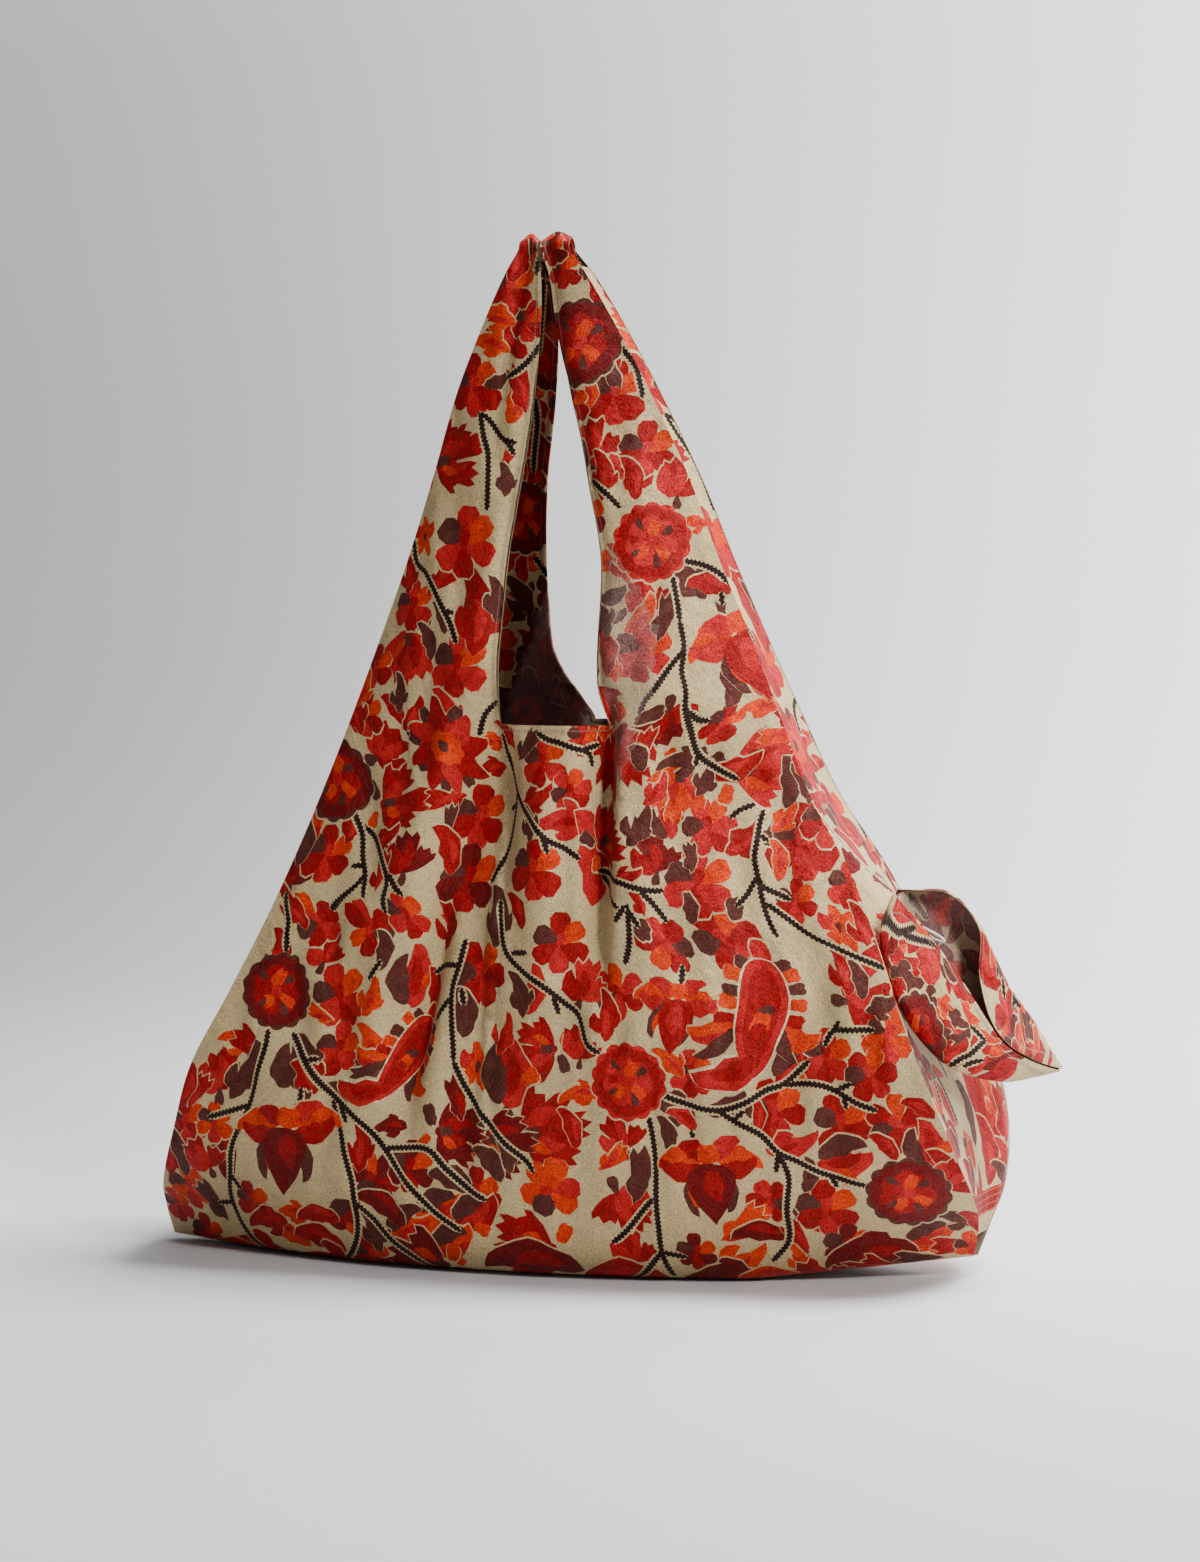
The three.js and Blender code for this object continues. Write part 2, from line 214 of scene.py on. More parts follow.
FRONT_FOLDS = Table(
    FOLD_COLUMNS,
    """
    -41 330 -50 60 18 22 11
    -52 300 -106 60 15 15 20
    27 335 30 150 15 14 6
    -30 318 -20 100 7 9 12
    98 300 150 60 6 30 34
    -96 330 -170 100 6 22 20
    4 300 12 60 4 8 10
    60 322 92 140 4 12 16
    -70 215 -88 88 11 8 6
    -33 300 -36 28 5 3 7
    24 312 24 160 7 5 7
    -120 190 -142 60 5 9 12
    150 200 176 70 4 9 12
    -24 606 -8 500 5 3 6
    -36 606 -52 480 4 5 4
    """,
)
BACK_FOLDS = Table(
    FOLD_COLUMNS,
    """
    -12 326 -60 60 12 26 16
    10 326 52 70 12 14 26
    -90 330 -150 70 5 26 22
    96 320 160 70 5 24 24
    """,
)
SIDE_COLUMNS = "z middle frontPleat backPleat"
RIGHT_SIDE = Table(
    SIDE_COLUMNS,
    """
    0 0 0 0
    40 -2 0 -4
    80 -2 0 -9
    120 1 2 -9
    160 0 8 -7
    200 0 12 -4
    240 -3 11 -1
    280 -5 6 0
    324 -5 2 0
    400 -6 0 0
    500 -8 0 0
    600 -5 0 0
    """,
)
LEFT_SIDE = Table(
    SIDE_COLUMNS,
    """
    0 0 0 0
    40 4 -3 -4
    80 8 -6 -6
    120 8 -5 -6
    160 6 -1 -2
    200 3 2 2
    240 -1 4 4
    324 -6 2 2
    400 -8 0 0
    500 -9 0 0
    600 -5 0 0
    """,
)
POUCH = Table(
    "along lobe upper full lipA lipB out",
    """
    0 4 -2 2.2 1.5 -1 3
    5 20 -8 6 2.5 -7 12
    20 34 -22 12 3 -21 19
    46 45 -22 16 6 -20 24
    64 48 -16 17 9 -2 25
    84 47 -10 17 13 10.5 24
    102 40 -8 15 15 13.6 20
    120 28 -5 10 11 9.7 16
    133 13 -2 5 6 4.8 12
    141 3 -1 1.9 1.8 0.6 10
    """,
)

LOOP_TURNS = Table("far side", "0 -0.5\n0.45 -0.62\n0.85 -0.6\n1 0\n0.85 0.6\n0.45 0.62\n0 0.5")

# Ways up the cloth, in mm: the neckline, the panels' top and foot, and the side strips' top and foot
NECK = 324.0
RIDGE_WAY = 615.0
FOOT_WAY = -77.2
STRIP_TOP = 596.0
STRIP_FOOT = 14.0


def unit(rows: Array) -> Array:
    """Returns rows of numbers, each as a direction of length 1."""
    return rows / np.maximum(np.linalg.norm(rows, axis=1), 1e-9)[:, None]


def length_along(line: Array) -> Array:
    """Returns how far along a line each of its points lies."""
    return np.concatenate([[0], np.cumsum(np.linalg.norm(np.diff(line, axis=0), axis=1))])


def rows_of(across: Array | float, way: Array | float) -> Array:
    """Returns rows of across and way, either of which may be one number for all of them."""
    return np.stack(np.broadcast_arrays(across, way), axis=-1)


def ring(*sides: tuple[Array | float, Array | float]) -> Array:
    """Returns a closed outline from its sides, each without its last point, which starts the next one."""
    return np.concatenate([rows_of(*side)[:-1] for side in sides])


def corner_lift(x: Array, z: Array, most: Array | float, power: Array | float) -> Array:
    """How far a bottom corner rises off the surface.

    Args:
        x: where on the bag, in mm.
        z: how high, in mm.
        most: the rise at the corner, in mm.
        power: how suddenly it rises.

    Returns:
        The rise, in mm.
    """
    share = np.maximum(0, (np.abs(x) - LIFT_FROM) / LIFT_REACH)
    return most * share ** power * (1 - smoothstep(z, 0, LIFT_FADES_AT))


def curve_through(points: Array, steps: Callable[[float], int]) -> Array:
    """Runs a smooth line through points.

    Args:
        points: the points.
        steps: how many parts a stretch between two of them has, by its length in mm.

    Returns:
        The line's points.
    """
    ends = np.concatenate([[2 * points[0] - points[1]], points, [2 * points[-1] - points[-2]]])
    line = []
    for a, b, c, d in zip(ends, ends[1:], ends[2:], ends[3:]):
        t = np.linspace(0, 1, steps(float(np.linalg.norm(c - b))), endpoint=False)[:, None]
        straight = 2 * b + (c - a) * t
        line.append(0.5 * (straight + (2 * a - 5 * b + 4 * c - d) * t**2 + (3 * b - a - 3 * c + d) * t**3))
    return np.concatenate([*line, [points[-1]]])


def fold_depth(folds: Table, x: Array, z: Array) -> Array:
    """Depth of all the folds of a panel.

    Args:
        folds: a row for each trough, from its top to its foot.
        x: where on the panel, in mm.
        z: how high, in mm.

    Returns:
        How far the cloth lies back, in mm.
    """
    deep = np.zeros_like(x)
    for top_x, top_z, foot_x, foot_z, most, left_wide, right_wide in folds.rows:
        down = (top_z - z) / (top_z - foot_z)
        line = top_x + (foot_x - top_x) * down
        wide = np.where(x < line, left_wide, right_wide)
        ends = smoothstep(down, -0.12, 0.1) * (1 - smoothstep(down, 0.6, 1.05))
        deep += most * ends * np.exp(-(((x - line) / wide) ** 2))
    return deep


@dataclass(kw_only=True)
class Sheet:
    """A piece of cloth: a surface over its own across and way, and the flat cut that it was before.

    Each row of the cut is laid out from its centre, which keeps its x if keeps_x is set. probe is how far
    beside a point the surface is read for its normal, in mm up the cloth and in columns across it.
    """

    name: str = ""
    span: float = 1.0
    centre: float = 0.5
    outward: int = 1
    columns: int = 241
    keeps_x: bool = True
    probe: float = 0.6

    def surface(self, across: Array, way: Array) -> Array:
        """Returns points of the middle of the cloth, in mm."""
        raise NotImplementedError

    def ways(self) -> Array:
        """Returns the ways at which the flat cut is measured, in mm."""
        raise NotImplementedError

    def outline(self) -> Array:
        """Returns the outline as rows of across and way, all round."""
        raise NotImplementedError

    def edge(self) -> Array:
        """Returns the outline of the flat cloth, in mm."""
        rows = self.outline()
        return self.to_flat(rows[:, 0], rows[:, 1])

    def measure(self) -> None:
        """Lays each row of the surface out flat, by its length."""
        self.stops = np.linspace(0, self.span, self.columns)
        rows = []
        xs = []
        for way in self.ways():
            points = self.surface(self.stops, np.full(self.columns, way))
            length = length_along(points)
            middle = np.interp(self.centre, self.stops, length)
            offset = np.interp(self.centre, self.stops, points[:, 0]) if self.keeps_x else 0.0
            rows.append(length - middle + offset)
            xs.append(points[:, 0])
        self.flat = np.array(rows)
        self.flat_x = np.array(xs)

    def row_mix(self, grid: Array, way: Array) -> Array:
        """Returns the rows of a measured grid at each way, mixed from the nearest two."""
        ways = self.ways()
        at = np.clip(np.interp(way, ways, np.arange(len(ways))), 0, len(ways) - 1.000001)
        low = at.astype(int)
        part = (at - low)[:, None]
        return grid[low] * (1 - part) + grid[low + 1] * part

    def lookup(self, grid: Array, value: Array, way: Array) -> Array:
        """Finds across from a value that grows along each row of a grid.

        Args:
            grid: a measured grid, such as the flat lengths.
            value: the value to find in the row.
            way: the row.

        Returns:
            across for each pair.
        """
        found = np.empty(len(value))
        for start in range(0, len(value), 8000):
            part = slice(start, start + 8000)
            rows = self.row_mix(grid, way[part])
            want = value[part]
            i = np.clip((rows < want[:, None]).sum(axis=1), 1, self.columns - 1)
            k = np.arange(len(want))
            low, high = rows[k, i - 1], rows[k, i]
            t = np.clip((want - low) / np.maximum(high - low, 1e-9), 0, 1)
            found[part] = self.stops[i - 1] + (self.stops[i] - self.stops[i - 1]) * t
        return found

    def to_flat(self, across: Array, way: Array) -> Array:
        """Returns the flat place of points of the surface, in mm."""
        rows = self.row_mix(self.flat, way)
        at = np.interp(across, self.stops, np.arange(self.columns))
        low = np.clip(at.astype(int), 0, self.columns - 2)
        k = np.arange(len(across))
        part = at - low
        return np.stack([rows[k, low] * (1 - part) + rows[k, low + 1] * part, way], axis=-1)

    def place(self, flat: Array) -> tuple[Array, Array]:
        """Puts flat points where they hang.

        Args:
            flat: rows of flat places, in mm.

        Returns:
            Their points and the outward normals there.
        """
        across = self.lookup(self.flat, flat[:, 0], flat[:, 1])
        way = flat[:, 1]
        ways = self.ways()
        reach = self.span / self.columns * self.probe
        left = self.surface(np.clip(across - reach, 0, self.span), way)
        right = self.surface(np.clip(across + reach, 0, self.span), way)
        under = self.surface(across, np.clip(way - self.probe, ways[0], ways[-1]))
        over = self.surface(across, np.clip(way + self.probe, ways[0], ways[-1]))
        normal = unit(np.cross(right - left, over - under))
        return self.surface(across, way), normal * self.outward


@dataclass
class Wrinkles:
    """Soft uneven waves that thin cloth shows between its main folds."""

    seed: int
    tall: float = 62.0
    wide: float = 17.0
    deep: float = 0.9
    waves: int = 26

    def __post_init__(self) -> None:
        """Draws the waves."""
        draw = np.random.RandomState(self.seed)
        self.kx = draw.normal(0, 1, self.waves) * math.tau / self.wide / 2.2
        self.kz = draw.normal(0, 1, self.waves) * math.tau / self.tall / 2.0
        self.phase = draw.uniform(0, math.tau, self.waves)
        self.size = draw.uniform(0.4, 1.0, self.waves)

    def __call__(self, x: Array, z: Array) -> Array:
        """Returns the depth of the waves at x and z, in mm."""
        total = np.zeros_like(x)
        for kx, kz, phase, size in zip(self.kx, self.kz, self.phase, self.size):
            total += size * np.sin(kx * x + kz * z + phase)
        return total * self.deep / math.sqrt(self.waves / 2)


@dataclass(kw_only=True)
class Panel(Sheet):
    """The front or the back, from the bottom seam to the tops of its two strap halves."""

    front: bool
    span: float = 3.0
    centre: float = 1.5
    columns: int = 361
    curl: float = 6.0

    def __post_init__(self) -> None:
        """Takes the front's hems and folds, or the back's, and measures the cloth."""
        self.name = "front_cloth" if self.front else "back_cloth"
        self.outward = 1 if self.front else -1
        self.hem = FRONT_HEM if self.front else BACK_HEM
        self.folds = FRONT_FOLDS if self.front else BACK_FOLDS
        self.wrinkles = Wrinkles(3 if self.front else 4, deep=1.3)
        self.ripples = Wrinkles(23 if self.front else 24, tall=30.0, wide=10.0, deep=0.4)
        self.measure()

    def ways(self) -> Array:
        """Returns the ways at which the flat cut is measured, in mm."""
        body = np.arange(22, 604, 4.0)
        return np.concatenate([np.linspace(FOOT_WAY, 18, 32), body, np.linspace(604, RIDGE_WAY, 9)])

    def surface(self, across: Array, way: Array) -> Array:
        """Returns points of the middle of the cloth, in mm."""
        z = ROWS("z", way)
        out = np.clip(ROWS("out", way), 0, 1)
        rise = np.maximum(ROWS("rise", way), 0)
        tag = "Front" if self.front else "Back"
        left = BODY("left" + tag, z)
        right = BODY("right" + tag, z)
        marks = np.stack([left, self.hem("left", z), self.hem("right", z), right])
        part = np.clip(np.floor(across), 0, 2).astype(int)
        index = np.arange(len(z))
        x = marks[part, index] + (marks[part + 1, index] - marks[part, index]) * (across - part)
        share = np.minimum(1, np.abs(x - (left + right) / 2) * 2 / (right - left))
        centre = BODY("frontDepth" if self.front else "backDepth", z)
        arch = 1 - share ** (2 + 0.4 * smoothstep(z, 30, 50))
        seam = BODY("seamDepth", z)
        folds = fold_depth(self.folds, x, z) * np.minimum(1, arch * 3)
        depth = seam + (centre - seam) * arch - folds
        inner = np.where(x > (left + right) / 2, x - self.hem("right", z), self.hem("left", z) - x)
        near_hem = np.exp(-((np.maximum(inner, 0) / 6.5) ** 2))
        curl = smoothstep(z, 326, 360) * (1 - smoothstep(z, 500, 560)) * near_hem
        depth = depth - self.curl * curl * smoothstep(inner, -0.5, 0.0)
        calm = smoothstep(z, 4, 60) * (1 - smoothstep(z, 520, 600)) * smoothstep(arch, 0.0, 0.25)
        depth = (depth - (self.wrinkles(x, z) + self.ripples(x, z)) * calm) * out
        most = np.where(x < 0, 3.0, 14.0)
        power = np.where(x < 0, 1.7, 0.9)
        lift = corner_lift(x, z, most, power)
        top = rise > 0
        climb = rise + np.where(top, RIDGE("rise", x) * (1 - out * 0.5), 0)
        upright = np.where(top, 0.7, smoothstep(np.abs(x), 120, 225))
        apart = 0.2 + upright * HALF
        side = -1.0 if self.front else 1.0
        return np.stack([x, side * (depth + apart), z + HALF + climb + lift], axis=-1)

    def from_chart(self, places: Array) -> Array:
        """Returns the flat places of a chart's places, which are rows of x and way, in mm."""
        x, way = places[:, 0], places[:, 1]
        return self.to_flat(self.lookup(self.flat_x, x, way), way)

    def opening(self) -> Array:
        """Returns the hemmed edge on the flat cloth: down the left strap, along the neck and up the right."""
        down = np.linspace(RIDGE_WAY, NECK, 120)
        neck = np.linspace(1, 2, 30)[1:-1]
        rows = np.concatenate([rows_of(1, down), rows_of(neck, NECK), rows_of(2, down[::-1])])
        return self.to_flat(rows[:, 0], rows[:, 1])

    def outline(self) -> Array:
        """Returns the outline as rows of across and way, all round."""
        body, top = np.linspace(20, 604, 150)[1:], np.linspace(604, RIDGE_WAY, 6)[1:]
        up = np.concatenate([np.linspace(FOOT_WAY, 20, 26), body, top])
        strap = up[up >= NECK]
        strap = np.concatenate([[NECK], strap[strap > NECK + 0.5]])
        return ring(
            (0, up),
            (np.linspace(0, 1, 10), RIDGE_WAY),
            (1, strap[::-1]),
            (np.linspace(1, 2, 18), NECK),
            (2, strap),
            (np.linspace(2, 3, 10), RIDGE_WAY),
            (3, up[::-1]),
            (np.linspace(3, 0, 120), FOOT_WAY),
        )


@dataclass(kw_only=True)
class Strip(Sheet):
    """A side strip between the front seam and the back seam, up to the tops of the straps."""

    right: bool
    columns: int = 161
    keeps_x: bool = False

    def __post_init__(self) -> None:
        """Takes the right side's bulge, or the left's, and measures the cloth."""
        self.name = "right_gusset_cloth" if self.right else "left_gusset_cloth"
        self.outward = 1 if self.right else -1
        self.side = RIGHT_SIDE if self.right else LEFT_SIDE
        self.wrinkles = Wrinkles(5 if self.right else 6, deep=0.7)
        self.measure()

    def ways(self) -> Array:
        """Returns the ways at which the flat cut is measured, in mm."""
        return np.linspace(STRIP_FOOT, STRIP_TOP, 147)

    def surface(self, across: Array, way: Array) -> Array:
        """Returns points of the middle of the cloth, in mm."""
        front = BODY("rightFront" if self.right else "leftFront", way)
        back = BODY("rightBack" if self.right else "leftBack", way)
        depth = BODY("seamDepth", way)
        out = 1.0 if self.right else -1.0
        y = (across * 2 - 1) * (depth - 0.1)
        pleat = np.where(across < 0.5, self.side("frontPleat", way), self.side("backPleat", way))
        bulge = self.side("middle", way) * np.sin(math.pi * across) - pleat * np.sin(math.tau * across) ** 2
        bulge = bulge + self.wrinkles(y, way) * np.sin(math.pi * across)
        x = front + (back - front) * across + out * (bulge - HALF - 0.5 * np.sin(math.pi * across) ** 0.5)
        most = 14.0 if self.right else 3.0
        power = 0.9 if self.right else 1.7
        lift = corner_lift(x, way, most, power)
        return np.stack([x, y, way + HALF + lift], axis=-1)

    def outline(self) -> Array:
        """Returns the outline as rows of across and way, all round."""
        up = np.linspace(STRIP_FOOT, STRIP_TOP, 150)
        return ring(
            (0, up),
            (np.linspace(0, 1, 6), STRIP_TOP),
            (1, up[::-1]),
            (np.linspace(1, 0, 8), STRIP_FOOT),
        )


@dataclass(kw_only=True)
class Pouch(Sheet):
    """The stow pouch: a pod of cloth open along its front, round from one lip to the other."""

    name: str = "pouch_cloth"
    centre: float = 0.4
    keeps_x: bool = False
    at: tuple[float, ...] = (187.0, -2.2, 227.0)
    view_turn: float = math.radians(15)
    slope: float = math.radians(46.9)
    lean: float = 0.95

    def __post_init__(self) -> None:
        """Wrinkles and measures the cloth."""
        self.wrinkles = Wrinkles(8, tall=34, wide=12, deep=0.6, waves=18)
        self.measure()

    def ways(self) -> Array:
        """Returns the ways at which the flat cut is measured, in mm."""
        return np.linspace(0, POUCH_LONG, 72)

    def spot(self, along: Array, reach: Array, outwards: Array) -> Array:
        """Returns points given along the pouch, across it and out of its face, in mm."""
        right = along * math.cos(self.slope) - reach * math.sin(self.slope)
        down = along * math.sin(self.slope) + reach * math.cos(self.slope)
        cos, sin = math.cos(self.view_turn), math.sin(self.view_turn)
        x = self.at[0] + right * cos + outwards * sin
        y = self.at[1] + right * sin - outwards * cos
        return np.stack([x, y, self.at[2] - down], axis=-1)

    def surface(self, across: Array, way: Array) -> Array:
        """Returns points of the middle of the cloth, in mm."""
        lobe, upper = POUCH("lobe", way), POUCH("upper", way)
        centre = (lobe + upper) / 2
        half = (lobe - upper) / 2
        start = np.arccos(np.clip((POUCH("lipA", way) - centre) / half, -1, 1))
        stop = -math.tau + np.arccos(np.clip((POUCH("lipB", way) - centre) / half, -1, 1))
        angle = start + (stop - start) * across
        reach = centre + half * np.cos(angle)
        full = POUCH("full", way)
        calm = smoothstep(way, 4, 30) * (1 - smoothstep(way, 110, 140))
        outwards = POUCH("out", way) + self.lean * np.maximum(reach, -4) + full * np.sin(angle)
        outwards = outwards + self.wrinkles(angle * 20, way) * calm * np.sin(angle)
        return self.spot(way, reach, outwards)

    def outline(self) -> Array:
        """Returns the outline as rows of across and way, all round."""
        up = np.linspace(0, POUCH_LONG, 60)
        return ring(
            (0, up),
            (np.linspace(0, 1, 14), POUCH_LONG),
            (1, up[::-1]),
            (np.linspace(1, 0, 14), 0),
        )


# A motif's rows: shape, x, y, length, width, way, bend and ink, with sizes as shares of the motif's size.
# A puff's bend is its number of lobes. A disc's length is its radius, its width the number of its lobes and
# its bend their depth. Inks 1, 2, 3 and 5 are the motif's main ink and the ones that go with it.
MOTIFS = {
    "ros": """
        disc 0 0 .50 14 0 .085 5
        disc 0 0 .45 11 10 .07 1
        disc -.01 .01 .33 7 15 .15 2
        puff -.03 .03 .27 .20 62 5 o
        puff .04 -.03 .25 .17 322 4 o
        puff -.03 -.05 .22 .18 228 5 o
        puff -.14 .03 .15 .13 178 4 c
        puff -.11 .13 .19 .10 132 3 m
        puff .11 .09 .17 .12 34 3 m
        puff .05 -.13 .19 .11 286 3 m
        puff -.14 -.08 .15 .09 222 3 m
        disc .01 .0 .085 4 0 .2 k
        """,
    "blo": """
        puff .0 .02 .52 .40 92 3 1
        puff .0 .0 .49 .40 152 3 m
        puff .0 .0 .52 .42 208 3 1
        puff .0 .0 .49 .40 270 3 2
        puff .0 .0 .52 .42 330 3 1
        puff .0 .02 .50 .38 32 3 3
        puff -.02 -.04 .24 .20 80 4 2
        """,
    "fan": """
        puff -.05 -.08 .34 .24 205 4 m
        puff .06 -.10 .28 .22 330 4 o
        tooth -.05 .0 .52 .34 150 -34 1
        tooth .05 .0 .52 .34 32 34 1
        tooth -.04 -.02 .72 .34 116 -10 1
        tooth .05 -.02 .74 .34 62 14 1
        tooth 0 -.02 .86 .30 90 4 1
        puff .0 -.06 .34 .44 90 5 1
        leaf -.04 .02 .52 .20 122 -16 2
        leaf .04 .04 .48 .17 66 14 2
        puff .0 .0 .22 .20 88 4 m
        leaf .06 .10 .30 .13 40 20 o
        """,
    "tri": """
        tooth 0 -.22 .74 .50 92 10 1
        tooth .02 -.16 .52 .38 30 30 1
        leaf -.02 -.16 .62 .34 156 -54 2
        leaf 0 -.12 .52 .20 78 22 2
        puff 0 -.14 .28 .20 262 3 m
        """,
    "two": """
        leaf .02 -.46 1.0 .46 72 34 1
        puff .16 -.14 .34 .30 30 4 3
        leaf .04 -.30 .66 .20 74 30 2
        leaf -.06 -.40 .80 .34 118 -34 m
        """,
    "lea": """
        leaf .06 -.5 1.12 .44 70 40 1
        leaf .12 -.30 .62 .17 62 44 2
        """,
    "lob": """
        leaf .06 -.5 1.12 .36 76 36 1
        leaf .02 -.30 .46 .24 142 -40 1
        leaf .10 -.22 .44 .22 22 40 1
        leaf .07 -.36 .56 .14 76 30 2
        """,
    "fea": """
        tooth .02 -.5 1.02 .46 84 14 1
        leaf .00 -.36 .40 .20 132 -36 1
        leaf .05 -.42 .66 .17 78 24 2
        """,
    "hip": """
        puff 0 -.5 1.0 .86 90 4 1
        puff .05 -.25 .5 .4 70 3 2
        """,
    "sta": """
        leaf 0 -.04 .62 .34 90 22 1
        leaf 0 0 .56 .34 24 30 1
        leaf 0 0 .56 .34 156 -30 2
        leaf 0 0 .56 .32 224 26 1
        leaf 0 0 .56 .32 316 -26 3
        disc 0 0 .22 5 0 .2 1
        puff 0 -.08 .24 .18 84 3 m
        """,
    "aster": """
        puff .02 .02 .52 .20 60 3 m
        puff -.02 .02 .52 .20 122 3 m
        puff -.03 0 .52 .20 166 3 m
        puff -.02 -.02 .50 .20 206 3 m
        puff 0 -.03 .50 .20 252 3 m
        puff .03 -.02 .50 .20 296 3 m
        leaf 0 0 .56 .26 92 0 1
        leaf 0 0 .54 .26 142 0 2
        leaf 0 0 .54 .26 186 0 1
        leaf 0 0 .54 .26 228 0 1
        leaf 0 0 .52 .26 270 0 2
        leaf 0 0 .54 .26 318 0 1
        leaf 0 0 .52 .26 2 0 1
        leaf 0 0 .52 .26 44 0 2
        disc 0 0 .20 9 0 .15 o
        puff -.03 -.06 .16 .14 80 4 m
        """,
    "lil": """
        leaf -.06 .06 .56 .24 168 34 o
        leaf .06 .06 .56 .24 14 -34 o
        puff -.16 .12 .26 .18 176 4 o
        puff .16 .12 .26 .18 6 4 o
        leaf -.05 -.02 .52 .21 206 -54 2
        leaf .06 -.02 .50 .21 340 64 2
        leaf -.04 .06 .36 .20 132 30 2
        leaf .04 .06 .40 .20 60 -34 k
        puff 0 -.02 .26 .30 92 5 o
        leaf -.08 -.04 .56 .17 226 50 m
        leaf .08 -.04 .56 .17 314 -50 m
        leaf -.12 -.14 .34 .12 238 30 o
        drop 0 .02 .70 .50 270 0 1
        leaf 0 -.04 .40 .22 270 0 2
        """,
    "pai": """
        petal .01 .36 .22 .14 84 10 k
        puff -.02 .37 .18 .13 160 4 m
        puff .05 .37 .18 .13 24 4 m
        puff -.12 .30 .16 .14 166 4 o
        puff -.15 .20 .16 .13 182 4 m
        puff -.16 .10 .17 .13 184 4 o
        puff -.16 .00 .18 .14 190 4 c
        leaf -.14 -.05 .38 .15 208 -24 o
        leaf -.14 -.09 .34 .08 212 -24 k
        puff .12 .32 .16 .12 18 4 o
        puff .15 .24 .16 .11 8 4 m
        puff .16 .15 .16 .12 4 4 o
        puff .16 .05 .16 .13 0 4 c
        leaf .14 .0 .36 .16 310 80 o
        leaf -.13 -.04 .40 .11 240 -22 m
        leaf .15 .0 .30 .11 286 20 m
        petal .01 -.39 .84 .38 92 -4 w
        leaf .08 -.16 .63 .245 236 -46 w
        petal .01 -.38 .82 .35 92 -4 k
        leaf .08 -.17 .62 .22 236 -46 k
        petal .01 -.30 .68 .24 92 -4 c
        leaf .05 -.20 .44 .13 234 -36 c
        puff -.05 .06 .15 .09 20 3 m
        puff 0 -.12 .20 .17 88 5 o
        drop .01 .0 .22 .12 266 0 c
        """,
}
SECOND = {"c": "k", "k": "c", "d": "c", "o": "k", "m": "m"}
THIRD = {"c": "o", "k": "o", "d": "o", "o": "o", "m": "m"}
EDGE = {"c": "k", "k": "k", "d": "m", "o": "c", "m": "m"}
LEAVES = ("lea", "lob", "fea", "lea", "lob")
GROWN = ("ros", "pai", "lil", "aster")
KIND_SIZE = {"blo": 0.92, "lea": 1.12, "tri": 1.1, "two": 1.08, "hip": 1.1, "lob": 1.12, "fea": 1.06}

